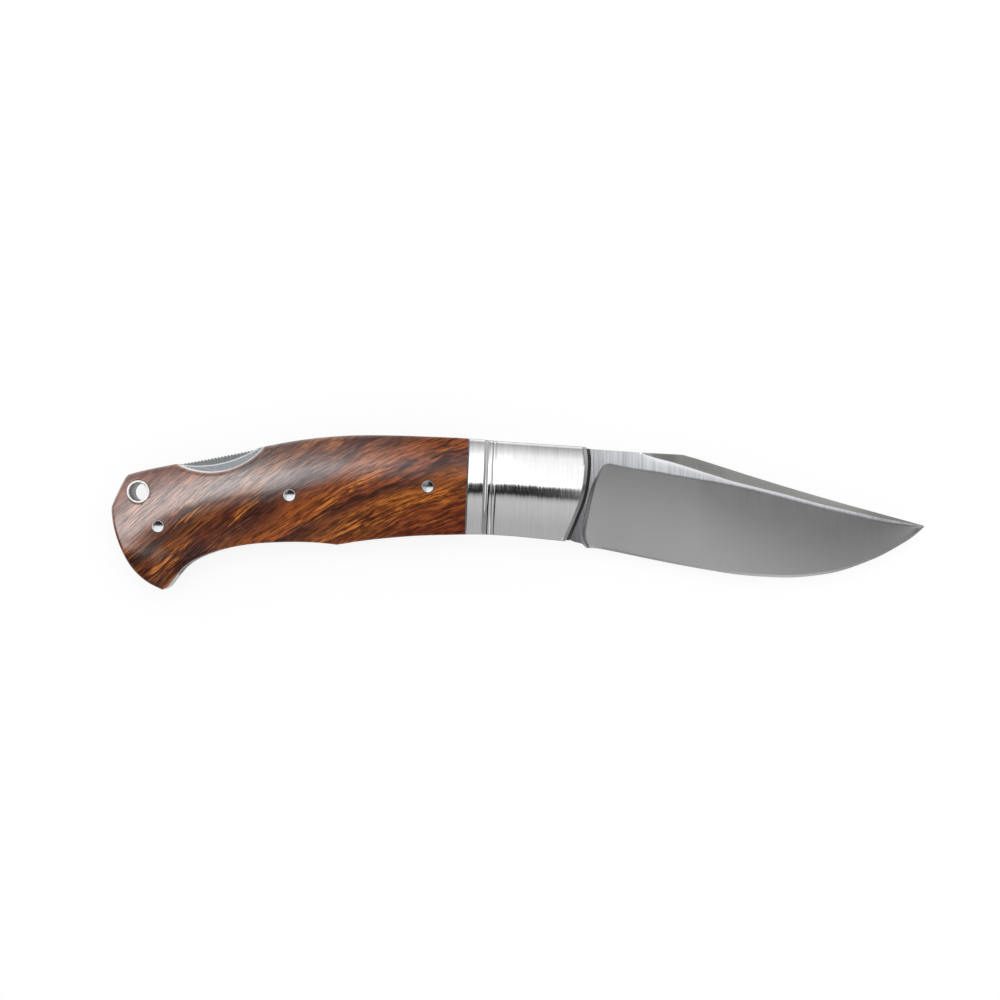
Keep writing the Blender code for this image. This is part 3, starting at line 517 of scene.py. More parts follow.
class Tree:
    """A short way to add and join the nodes of one node tree."""

    def __init__(self, tree: bpy.types.NodeTree) -> None:
        """Keep the tree that the nodes go into."""
        self.tree = tree

    def add(self, kind: str, **settings: object) -> bpy.types.Node:
        """Add a node.

        Args:
            kind: The node's type.
            **settings: Its properties.

        Returns:
            The node.
        """
        node = self.tree.nodes.new(kind)
        for word, value in settings.items():
            setattr(node, word, value)
        return node

    def feed(self, target: bpy.types.NodeSocket, value: object) -> None:
        """Join a socket to an input, or set the input's own value.

        Args:
            target: The input.
            value: A socket, a number, or a colour or vector of three numbers.
        """
        if isinstance(value, bpy.types.NodeSocket):
            self.tree.links.new(value, target)
        else:
            target.default_value = (*value, 1.0) if target.type == "RGBA" else value

    def math(self, operation: str, *values: object, clamp: bool = False) -> bpy.types.NodeSocket:
        """Work out one sum.

        Args:
            operation: The sum's name.
            *values: Up to three sockets or numbers.
            clamp: Whether the result is held in 0 to 1.

        Returns:
            The result.
        """
        node = self.add("ShaderNodeMath", operation=operation, use_clamp=clamp)
        for slot, value in zip(node.inputs, values):
            self.feed(slot, value)
        return node.outputs[0]

    def plus(self, first: object, second: object) -> bpy.types.NodeSocket:
        """Add two values."""
        return self.math("ADD", first, second)

    def minus(self, first: object, second: object) -> bpy.types.NodeSocket:
        """Take one value from another."""
        return self.math("SUBTRACT", first, second)

    def times(self, first: object, second: object) -> bpy.types.NodeSocket:
        """Multiply two values."""
        return self.math("MULTIPLY", first, second)

    def either(self, first: object, second: object) -> bpy.types.NodeSocket:
        """Take the larger of two values."""
        return self.math("MAXIMUM", first, second)

    def vector(self, *values: object) -> bpy.types.NodeSocket:
        """Put three values together as a vector.

        Args:
            *values: Its x, y and z.

        Returns:
            The vector.
        """
        node = self.add("ShaderNodeCombineXYZ")
        for slot, value in zip(node.inputs, values):
            self.feed(slot, value)
        return node.outputs[0]

    def split(self, vector: object) -> bpy.types.NodeOutputs:
        """Take a vector apart.

        Args:
            vector: The vector.

        Returns:
            Its x, y and z.
        """
        node = self.add("ShaderNodeSeparateXYZ")
        self.feed(node.inputs[0], vector)
        return node.outputs

    def sum_of(self, first: object, second: object) -> bpy.types.NodeSocket:
        """Add two vectors.

        Args:
            first: One vector.
            second: The other.

        Returns:
            Their sum.
        """
        node = self.add("ShaderNodeVectorMath", operation="ADD")
        self.feed(node.inputs[0], first)
        self.feed(node.inputs[1], second)
        return node.outputs[0]

    def blend(self, share: object, first: object, second: object, kind: str = "MIX") -> bpy.types.NodeSocket:
        """Mix two colours.

        Args:
            share: How much of the second goes in.
            first: One colour.
            second: The other.
            kind: The way of mixing.

        Returns:
            The mixed colour.
        """
        node = self.add("ShaderNodeMix", data_type="RGBA", blend_type=kind, clamp_factor=True)
        for number, value in ((0, share), (6, first), (7, second)):
            self.feed(node.inputs[number], value)
        return node.outputs[2]

    def ramp(self, value: object, stops: list[tuple[float, tuple[float, ...]]]) -> bpy.types.NodeSocket:
        """Turn a value into a colour.

        Args:
            value: The value, from 0 to 1.
            stops: Places and colours, in order.

        Returns:
            The colour.
        """
        node = self.add("ShaderNodeValToRGB")
        band = node.color_ramp
        band.elements[0].position, band.elements[1].position = stops[0][0], stops[-1][0]
        for place, _ in stops[1:-1]:
            band.elements.new(place)
        for element, (_, colour) in zip(band.elements, stops):
            element.color = (*colour, 1.0)
        self.feed(node.inputs[0], value)
        return node.outputs[0]

    def span(
        self, value: object, low: float, high: float, to_low: float = 0.0, to_high: float = 1.0
    ) -> bpy.types.NodeSocket:
        """Carry a value from one range to another, held at its ends.

        Args:
            value: The value.
            low: Where its range starts.
            high: Where its range ends.
            to_low: What it becomes at the start.
            to_high: What it becomes at the end.

        Returns:
            The carried value.
        """
        node = self.add("ShaderNodeMapRange", clamp=True)
        for slot, number in zip(node.inputs, (value, low, high, to_low, to_high)):
            self.feed(slot, number)
        return node.outputs[0]

    def noise(
        self, vector: object, scale: tuple[float, float, float], detail: float = 2.0, rough: float = 0.5,
        warp: float = 0.0
    ) -> bpy.types.NodeSocket:
        """Lay soft noise over a vector.

        Args:
            vector: The vector.
            scale: How many times a metre the noise changes along each axis.
            detail: Its octaves.
            rough: How strong the finer octaves are.
            warp: How far it is distorted.

        Returns:
            A value about 0.5.
        """
        stretch = self.add("ShaderNodeMapping")
        self.feed(stretch.inputs["Vector"], vector)
        self.feed(stretch.inputs["Scale"], scale)
        node = self.add("ShaderNodeTexNoise")
        for word, value in (
            ("Vector", stretch.outputs[0]), ("Scale", 1.0), ("Detail", detail), ("Roughness", rough),
            ("Distortion", warp),
        ):
            self.feed(node.inputs[word], value)
        return node.outputs["Fac"]

    def place(self) -> bpy.types.NodeSocket:
        """The shaded point in the object's own metres."""
        return self.add("ShaderNodeTexCoord").outputs["Object"]

    def shared(self, name: str, **values: object) -> bpy.types.NodeOutputs:
        """Place a shared effect, with values of its own.

        Args:
            name: The effect's group.
            **values: Its inputs, with _ for a space.

        Returns:
            What it puts out.
        """
        node = self.add("ShaderNodeGroup", node_tree=bpy.data.node_groups[name])
        for word, value in values.items():
            self.feed(node.inputs[word.replace("_", " ")], value)
        return node.outputs


def open_group(
    name: str, inputs: dict[str, float], outputs: dict[str, str]
) -> tuple[Tree, bpy.types.NodeOutputs, bpy.types.NodeInputs]:
    """Start a shader node group.

    Args:
        name: The group's name.
        inputs: First value of each input.
        outputs: Kind of each output: Float, Vector or Color.

    Returns:
        The group's tree, what comes in and what goes out.
    """
    group = bpy.data.node_groups.new(name, "ShaderNodeTree")
    for word, value in inputs.items():
        socket = group.interface.new_socket(name=word, in_out="INPUT", socket_type="NodeSocketFloat")
        socket.default_value = value
    for word, kind in outputs.items():
        group.interface.new_socket(name=word, in_out="OUTPUT", socket_type=f"NodeSocket{kind}")
    tree = Tree(group)
    return tree, tree.add("NodeGroupInput").outputs, tree.add("NodeGroupOutput").inputs


def brushed_group() -> bpy.types.NodeTree:
    """Brush marks that run along Y: fine lines that change across X, with a slow unevenness.

    Lines puts out a value about 0.5 that changes from line to line and is the relief too, Cloud a slow
    change for roughness. Normal leans each line a little towards or away from Y, so that an edge in the
    light shows ragged, as on ground steel: n + tilt (line - 0.5) Y.

    Returns:
        The group.
    """
    tree, given, made = open_group(
        "brush_marks", {"Fineness": 1.0, "Length": 1.0, "Tilt": 0.0},
        {"Lines": "Float", "Height": "Float", "Cloud": "Float", "Normal": "Vector"},
    )
    x, y, z = tree.split(tree.place())
    across = tree.times(x, given["Fineness"])
    run = tree.math("DIVIDE", y, given["Length"])
    marks = tree.vector(across, run, tree.times(z, 0.3))
    fine = tree.noise(marks, (5200.0, 150.0, 900.0), 3.0, 0.65)
    broad = tree.noise(marks, (1500.0, 60.0, 300.0), 2.0, 0.6)
    lines = tree.plus(tree.times(fine, 0.8), tree.times(broad, 0.2))
    uneven = tree.noise(marks, (2600.0, 50.0, 300.0), 3.0, 0.6)
    lean = tree.vector(0.0, tree.times(tree.minus(uneven, 0.5), given["Tilt"]), 0.0)
    outward = tree.add(
        "ShaderNodeVectorTransform", vector_type="VECTOR", convert_from="OBJECT", convert_to="WORLD"
    )
    tree.feed(outward.inputs[0], lean)
    level = tree.add("ShaderNodeVectorMath", operation="NORMALIZE")
    surface = tree.add("ShaderNodeNewGeometry").outputs["Normal"]
    tree.feed(level.inputs[0], tree.sum_of(surface, outward.outputs[0]))
    tree.feed(made["Lines"], lines)
    tree.feed(made["Height"], lines)
    tree.feed(made["Cloud"], tree.noise(tree.place(), (160.0, 160.0, 160.0), 3.0, 0.55))
    tree.feed(made["Normal"], level.outputs[0])
    return tree.tree


def wear_and_shade_group() -> bpy.types.NodeTree:
    """Edge mask for wear and painted shade: 1 on outer edges, 0 elsewhere, broken up by noise; Hollow is 1 in
    grooves, for painted shade there.

    Returns:
        The group.
    """
    tree, given, made = open_group("edge_wear_and_shade", {"Amount": 0.5}, {"Edge": "Float", "Hollow": "Float"})
    point = tree.add("ShaderNodeNewGeometry").outputs["Pointiness"]
    broken = tree.minus(tree.noise(tree.place(), (900.0, 900.0, 900.0), 3.0, 0.6), 0.5)
    raised = tree.span(tree.plus(point, tree.times(broken, 0.03)), 0.52, 0.62)
    tree.feed(made["Edge"], tree.math("MULTIPLY", raised, given["Amount"], clamp=True))
    tree.feed(made["Hollow"], tree.span(point, 0.485, 0.44))
    return tree.tree


def patch_group() -> bpy.types.NodeTree:
    """A soft oval along the grain: 1 where (du / length)^2 + (dv / width)^2 is small, fading to 0.

    Returns:
        The group.
    """
    tree, given, made = open_group(
        "grain_patch", {"Along": 0.0, "Across": 0.0, "U": 0.0, "V": 0.0, "Length": 0.01, "Width": 0.01},
        {"Mask": "Float"},
    )
    squares = []
    for place, centre, size in (("Along", "U", "Length"), ("Across", "V", "Width")):
        share = tree.math("DIVIDE", tree.minus(given[place], given[centre]), given[size])
        squares.append(tree.times(share, share))
    tree.feed(made["Mask"], tree.span(tree.plus(*squares), 1.35, 0.35))
    return tree.tree


def arc_group() -> bpy.types.NodeTree:
    """A painted highlight along a round cut: 1 within half the width of a circle about Z.

    Returns:
        The group.
    """
    tree, given, made = open_group(
        "painted_arc_line", {"Centre X": 0.0, "Centre Y": 0.0, "Radius": 0.02, "Width": 0.0005}, {"Line": "Float"}
    )
    x, y, _ = tree.split(tree.place())
    aside, up = tree.minus(x, given["Centre X"]), tree.minus(y, given["Centre Y"])
    reach = tree.math("SQRT", tree.plus(tree.times(aside, aside), tree.times(up, up)))
    away = tree.math("ABSOLUTE", tree.minus(reach, given["Radius"]))
    tree.feed(made["Line"], tree.span(tree.math("DIVIDE", away, given["Width"]), 0.5, 0.3))
    return tree.tree


@dataclass(frozen=True)
class Grain:
    """How the wood's grain climbs towards the bolster and steepens towards the pommel.

    A place lies u = x + slope y along the grain and v = y - slope x + bend (x + start)^2 across it.
    """

    slope: float = 0.4
    bend: float = 3.85
    start: float = 0.03

    def place(self, x: float, y: float) -> tuple[float, float]:
        """Distances of a place along and across the grain."""
        return x + self.slope * y, y - self.slope * x + self.bend * (x + self.start) ** 2

    def nodes(
        self, tree: Tree, x: bpy.types.NodeSocket, y: bpy.types.NodeSocket
    ) -> tuple[bpy.types.NodeSocket, bpy.types.NodeSocket]:
        """Work out the same distances for the shaded point.

        Args:
            tree: The tree that the nodes go into.
            x: The point's place along the knife.
            y: Its place across the knife.

        Returns:
            Its distances along and across the grain.
        """
        turned_x = tree.plus(x, self.start)
        across = tree.minus(y, tree.times(x, self.slope))
        across = tree.plus(across, tree.times(tree.times(turned_x, turned_x), self.bend))
        return tree.plus(x, tree.times(y, self.slope)), across


# colours of the bands across the grain: distance in millimetres, colour
GRAIN_BANDS = (
    (-3.0, (0.130, 0.030, 0.010)), (3.0, (0.175, 0.040, 0.012)), (7.0, (0.215, 0.060, 0.015)),
    (10.0, (0.290, 0.092, 0.020)), (14.0, (0.290, 0.096, 0.021)), (16.0, (0.170, 0.054, 0.017)),
    (17.6, (0.070, 0.022, 0.012)), (18.8, (0.100, 0.031, 0.015)), (20.5, (0.240, 0.070, 0.020)),
    (22.5, (0.310, 0.092, 0.021)), (25.8, (0.300, 0.092, 0.023)), (27.4, (0.170, 0.054, 0.022)),
    (29.3, (0.080, 0.030, 0.020)), (31.5, (0.105, 0.035, 0.017)), (34.0, (0.150, 0.042, 0.015)),
    (36.5, (0.230, 0.076, 0.021)), (38.5, (0.240, 0.086, 0.021)), (40.5, (0.130, 0.044, 0.015)),
    (42.5, (0.075, 0.028, 0.012)), (45.0, (0.200, 0.062, 0.018)), (52.0, (0.210, 0.056, 0.018)),
)
BAND_START, BAND_END = -5.0, 55.0
WOOD_TONE = (0.92, 0.77, 0.76)


def wood_group() -> bpy.types.NodeTree:
    """Figured wood, whose grain is as the class Grain says.

    The colour follows the distance across the grain through a row of bands from near black to gold-brown,
    whose edges sway with slow noise and fray with streaks; soft patches that lie along the grain darken,
    redden or gild it on the right scale. Streaks, fibres and short pores, all noise stretched along the
    grain, lighten and darken it. Sheen, for the weight of the clear coat, rises towards the pommel and is
    kept to the side where the surface leans towards the knife's back, the side that faces the softbox:
    a painted highlight. Lines of the grain break it up.

    Returns:
        The group.
    """
    tree, given, made = open_group(
        "figured_wood", {"Slide": 0.0, "Shift": 0.0, "Gold": 0.7, "Figure": 1.0},
        {"Colour": "Color", "Height": "Float", "Polish": "Float", "Sheen": "Float"},
    )
    grain = Grain()
    x, y, z = tree.split(tree.place())
    along, across = grain.nodes(tree, x, y)
    place = tree.vector(along, across, tree.plus(z, given["Shift"]))
    sway = tree.minus(tree.noise(place, (60.0, 150.0, 70.0), 2.0, 0.5), 0.5)
    place = tree.sum_of(place, tree.vector(0.0, tree.times(sway, 0.003), 0.0))
    middling = tree.span(tree.noise(place, (90.0, 520.0, 300.0), 2.0, 0.55), 0.34, 0.66)
    streaks = tree.span(tree.noise(place, (170.0, 1700.0, 700.0), 3.0, 0.6, warp=0.25), 0.36, 0.64)
    fibres = tree.span(tree.noise(place, (300.0, 2700.0, 1300.0), 2.0, 0.6, warp=0.3), 0.36, 0.64)
    pores = tree.span(tree.noise(place, (360.0, 2300.0, 900.0), 1.0, 0.5), 0.62, 0.70)
    fray = tree.plus(
        tree.times(tree.minus(middling, 0.5), 0.0022), tree.times(tree.minus(streaks, 0.5), 0.0020)
    )
    ragged = tree.plus(across, fray)
    band = tree.plus(tree.plus(ragged, given["Slide"]), tree.times(sway, 0.014))
    colour = tree.ramp(tree.span(band, BAND_START / 1000, BAND_END / 1000), [
        ((distance - BAND_START) / (BAND_END - BAND_START), shade) for distance, shade in GRAIN_BANDS
    ])

    def patch(centre: tuple[float, float], size: tuple[float, float]) -> bpy.types.NodeSocket:
        """Lay one oval on the right scale; the other scale goes without.

        Args:
            centre: Its place from the pivot, in millimetres.
            size: Its half sizes along and across the grain, in millimetres.

        Returns:
            1 inside it, 0 elsewhere.
        """
        u, v = grain.place(centre[0] / 1000, centre[1] / 1000)
        oval = tree.shared(
            "grain_patch", U=u, V=v, Length=size[0] / 1000, Width=size[1] / 1000, Along=along, Across=ragged
        )
        return tree.times(oval["Mask"], given["Figure"])

    for centre, size, strength, tint in FIGURE_TINTS:
        colour = tree.blend(tree.times(patch(centre, size), strength), colour, tint.value)
    gilt = tree.span(tree.noise(place, (80.0, 260.0, 110.0), 2.0, 0.5), 0.50, 0.66, 0.0, 0.6)
    for centre, size in FIGURE_GILT:
        gilt = tree.either(gilt, patch(centre, size))
    bright = tree.plus(tree.times(middling, 0.22), tree.times(streaks, 0.48))
    bright = tree.plus(bright, tree.times(fibres, 0.30))
    glint = tree.times(tree.span(bright, 0.50, 0.74), gilt)
    colour = tree.blend(tree.times(glint, given["Gold"]), colour, (0.56, 0.225, 0.032))
    shade = tree.span(bright, 0.18, 0.82, 0.34, 1.56)
    shade = tree.times(shade, tree.minus(1.0, tree.times(pores, 0.6)))
    tone = tree.vector(*(tree.times(shade, share) for share in WOOD_TONE))
    tree.feed(made["Colour"], tree.blend(1.0, colour, tone, "MULTIPLY"))
    tree.feed(made["Height"], tree.minus(tree.plus(fibres, tree.times(bright, 0.8)), pores))
    tree.feed(made["Polish"], tree.span(bright, 0.1, 0.9, 0.25, 0.19))
    # Painted highlight: the coat is laid only where the object's normal leans towards +Y, towards the softbox.
    facing = tree.split(tree.add("ShaderNodeTexCoord").outputs["Normal"])
    lean = tree.minus(facing[1], tree.span(x, -0.085, -0.050, 0.0, 0.13))
    painted_sheen_mask = tree.times(tree.span(x, -0.026, -0.068, 0.10, 0.9), tree.span(lean, -0.10, 0.05, 0.06, 1.0))
    lined = tree.times(tree.span(bright, 0.2, 0.8, 0.76, 1.24), tree.span(pores, 0.0, 1.0, 1.0, 0.75))
    tree.feed(made["Sheen"], tree.times(painted_sheen_mask, lined))
    return tree.tree


def new_material(name: str) -> tuple[bpy.types.Material, Tree, bpy.types.NodeInputs]:
    """Start a material.

    Args:
        name: The material's name.

    Returns:
        The material, its tree and the inputs of its Principled shader.
    """
    material = bpy.data.materials.new(name)
    material.use_nodes = True
    return material, Tree(material.node_tree), material.node_tree.nodes["Principled BSDF"].inputs


def bumped(
    tree: Tree, height: bpy.types.NodeSocket, depth: float, normal: bpy.types.NodeSocket | None = None
) -> bpy.types.NodeSocket:
    """Let a height tilt a normal.

    Args:
        tree: The material's tree.
        height: The height, from 0 to 1.
        depth: How much a height of 1 is, in metres.
        normal: The normal that it tilts, or None for the surface's own.

    Returns:
        The tilted normal.
    """
    bump = tree.add("ShaderNodeBump")
    if normal is not None:
        tree.feed(bump.inputs["Normal"], normal)
    for word, value in (("Strength", 1.0), ("Distance", depth), ("Height", height)):
        tree.feed(bump.inputs[word], value)
    return bump.outputs[0]


@dataclass(frozen=True)
class Arc:
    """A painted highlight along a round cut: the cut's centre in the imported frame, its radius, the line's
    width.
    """

    centre: tuple[float, float]
    radius: float
    width: float


@dataclass(frozen=True)
class SteelFinish:
    """A steel surface with brush marks and slow clouds in its polish. Its edge colour is wear on most
    finishes and painted shade on the bolsters; its hollows take painted shade, round cuts painted highlights.
    """

    name: str
    dark: tuple[float, float, float]
    light: tuple[float, float, float]
    smooth: float
    rough: float
    depth: float
    fineness: float = 1.0
    length: float = 1.0
    wear_and_shade_amount: float = 0.4
    wear_and_shade_colour: tuple[float, float, float] = (0.85, 0.85, 0.85)
    hollow: float = 0.8
    hollow_shade: tuple[float, float, float] = (0.12, 0.12, 0.12)
    tilt: float = 0.0
    arcs: tuple[Arc, ...] = ()
    painted_arc_highlight: tuple[float, float, float] = (0.68, 0.68, 0.66)

    def material(self) -> bpy.types.Material:
        """Build the finish.

        Returns:
            The material.
        """
        material, tree, shader = new_material(self.name)
        marks = tree.shared("brush_marks", Fineness=self.fineness, Length=self.length, Tilt=self.tilt)
        edges = tree.shared("edge_wear_and_shade", Amount=self.wear_and_shade_amount)
        share = tree.span(marks["Lines"], 0.35, 0.65)
        colour = tree.blend(share, self.dark, self.light)
        # edge colour: wear on most finishes, painted shade on the bolsters
        colour = tree.blend(edges["Edge"], colour, self.wear_and_shade_colour)
        # painted highlights: bright lines along the round cuts
        for arc in self.arcs:
            line = tree.shared(
                "painted_arc_line", Centre_X=arc.centre[0], Centre_Y=arc.centre[1], Radius=arc.radius, Width=arc.width
            )
            colour = tree.blend(line["Line"], colour, self.painted_arc_highlight)
        # painted shade in the hollows
        colour = tree.blend(tree.times(edges["Hollow"], self.hollow), colour, self.hollow_shade)
        tree.feed(shader["Base Color"], colour)
        mixed = tree.plus(tree.times(share, 0.5), tree.times(marks["Cloud"], 0.5))
        tree.feed(shader["Roughness"], tree.span(mixed, 0.25, 0.75, self.smooth, self.rough))
        tree.feed(shader["Metallic"], 1.0)
        tree.feed(shader["Normal"], bumped(tree, marks["Height"], self.depth, marks["Normal"]))
        return material


@dataclass(frozen=True)
class WoodFinish:
    """Polished figured wood under a thin clear coat."""

    name: str
    shift: float = 0.0
    slide: float = 0.0
    gold: float = 0.7
    figure: float = 1.0
    wear_and_shade_amount: float = 0.5
    edge_darkening_share: float = 0.6
    wear_and_shade_colour: tuple[float, float, float] = (0.085, 0.022, 0.010)
    depth: float = 0.000006
    gloss: float = 0.12
    index: float = 2.5
    coat_rough: float = 0.18

    def material(self) -> bpy.types.Material:
        """Build the finish.

        Returns:
            The material.
        """
        material, tree, shader = new_material(self.name)
        wood = tree.shared(
            "figured_wood", Slide=self.slide, Shift=self.shift, Gold=self.gold, Figure=self.figure
        )
        edges = tree.shared("edge_wear_and_shade", Amount=self.wear_and_shade_amount)
        # darker at the rounded edges
        colour = tree.blend(tree.times(edges["Edge"], self.edge_darkening_share), wood["Colour"], self.wear_and_shade_colour)
        for word, value in (
            ("Base Color", colour), ("Roughness", wood["Polish"]), ("Specular IOR Level", self.gloss),
            ("Coat Weight", wood["Sheen"]), ("Coat IOR", self.index), ("Coat Roughness", self.coat_rough),
            ("Normal", bumped(tree, wood["Height"], self.depth)),
        ):
            tree.feed(shader[word], value)
        return material


@dataclass
class Scales:
    """The two wood scales, crowned, rounded at the edge and scooped for the thumb."""

    handle: Handle
    turn_x: float = -0.0833
    upper_turn_share: float = -0.977
    lower_turn_shares: tuple[float, float] = (-0.835, -0.632)
    lead: float = 0.002
    lean_run: float = 0.012
    upright: int = 270
    turning: int = 90
    closing: int = 80
    round_steps: int = 7
    face_steps: int = 18
    least_slant: float = 0.55

    def stations(self) -> tuple[np.ndarray, np.ndarray, np.ndarray]:
        """Match the scale's upper edge, crown and lower edge, from the joint to the beak.

        First the lines across stand upright, leaning with the joint near it; then the edges are walked
        while the crown is; at last the lines turn about the crown's end until both edges meet.

        Returns:
            Three arrays of points of one length: upper edge, crown, lower edge.
        """
        h = self.handle
        start = float(h.joint_at(0.0, -h.fit / 2))
        top = h.cut_back(np.linspace(start + self.lead, h.pommel[0, 0], 900), h.scoop)
        upper_path = np.vstack((top, h.pommel[1:]))
        lower_path = h.belly[::-1][h.belly[::-1][:, 0] < start + self.lead]
        middle = np.linspace(start, self.turn_x, self.upright)
        lean = h.lean * np.clip(1 - (start - middle) / self.lean_run, 0, 1)

        def edge(path: np.ndarray) -> np.ndarray:
            """Find where each leaning line meets a path, coming nearer six times.

            Args:
                path: The path's points.

            Returns:
                The meeting points.
            """
            x = middle.copy()
            for _ in range(6):
                x = middle + lean * height_on(path, x)
            return np.column_stack((x, height_on(path, x)))

        upper, crown, lower = edge(top), edge(h.crown), edge(lower_path)
        crown_path = np.vstack((crown[-1:], h.crown[h.crown[:, 0] < self.turn_x]))
        share, closing = (np.linspace(0, 1, count + 1)[1:] for count in (self.turning, self.closing))
        crown_end, tip = crown_path[-1], h.pommel[-1]
        upper_turn = np.array((self.upper_turn_share * h.reach, crown_end[1]))
        lower_turn = np.array(self.lower_turn_shares) * np.array((h.reach, h.span))
        sides = []
        for path, walked, turn in ((upper_path, upper, upper_turn), (lower_path, lower, lower_turn)):
            first, bend, last = (length_to(path, place) for place in (walked[-1], turn, tip))
            walk = np.concatenate((first + (bend - first) * share, bend + (last - bend) * closing))
            sides.append(np.vstack((walked, along_path(path, walk))))
            sides[-1][-1] = tip
        crown_walk = length_to(crown_path, crown_end) * share
        still = np.repeat(crown_end[None], self.closing, axis=0)
        return sides[0], np.vstack((crown, along_path(crown_path, crown_walk), still)), sides[1]

    def half_rows(self, edge: np.ndarray, crown: np.ndarray) -> np.ndarray:
        """Rows from an edge to the crown: the wall's foot, a quarter round over the edge, then the face.

        On the round, at angle a, a point is inset by e(1 - cos a) and sunk by e(1 - sin a) under the
        crowned face, where e is the edge's radius.

        Args:
            edge: Points of the edge.
            crown: The crown's point for each of them.

        Returns:
            Points in an array of stations, rows and x, y, z.
        """
        h = self.handle
        reach = crown - edge
        length = np.linalg.norm(reach, axis=1, keepdims=True)
        way = reach / length
        tangent = np.gradient(edge, axis=0)
        tangent /= np.maximum(np.linalg.norm(tangent, axis=1, keepdims=True), TINY)
        slant = np.abs(tangent[:, 0] * way[:, 1] - tangent[:, 1] * way[:, 0])
        slant = np.clip(slant, self.least_slant, 1)[:, None]
        angle = np.linspace(0, RIGHT_ANGLE, self.round_steps + 1)[None, :]
        inset = h.edge_round * (1 - np.cos(angle)) / slant
        share = np.linspace(0, 1, self.face_steps + 1)[None, 1:]
        rest = inset[:, -1:] + (length - inset[:, -1:]) * share
        away = np.hstack((np.zeros_like(length), inset, rest))
        sunk = np.hstack((np.zeros((1, 1)), h.edge_round * (1 - np.sin(angle)), 0 * share))
        place = edge[:, None] + way[:, None] * away[..., None]
        height = h.crown_height(place) - sunk
        height[:, 0] = h.cover_inner
        return np.concatenate((place, height[..., None]), axis=-1)

    def build(self, side: Side) -> bpy.types.Object:
        """Build one scale's closed mesh: face grid, joint end, flat underside, and the tube's hole.

        Args:
            side: Its side.

        Returns:
            The scale.
        """
        upper, crown, lower = self.stations()
        lower_half = self.half_rows(lower, crown)[:, -2::-1]
        grid = np.concatenate((self.half_rows(upper, crown), lower_half), axis=1)
        grid[..., 2] *= side.value
        rows, columns = grid.shape[:2]
        number = np.arange(rows * columns).reshape(rows, columns)
        faces = grid_quads(rows, columns).tolist()
        faces.append(number[0].tolist())
        faces.append(number[:, 0].tolist() + number[-2::-1, -1].tolist())
        piece = make_piece(f"wood_scale_{side.word}", grid.reshape(-1, 3), faces, sharp=35)
        return drilled(piece, self.handle.tube, self.handle.tube_hole)

    def dress(self) -> list[bpy.types.Object]:
        """Build both scales and give them their wood.

        Returns:
            The scales.
        """
        finishes = {
            Side.RIGHT: WoodFinish("scale_wood_right"),
            Side.LEFT: WoodFinish("scale_wood_left", shift=0.31, slide=0.0105, figure=0.0),
        }
        pieces = []
        for side, finish in finishes.items():
            piece = cover(self.build(side), finish.material())
            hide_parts(f"scale_{side.word}")
            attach(piece, "handle")
            pieces.append(piece)
        return pieces


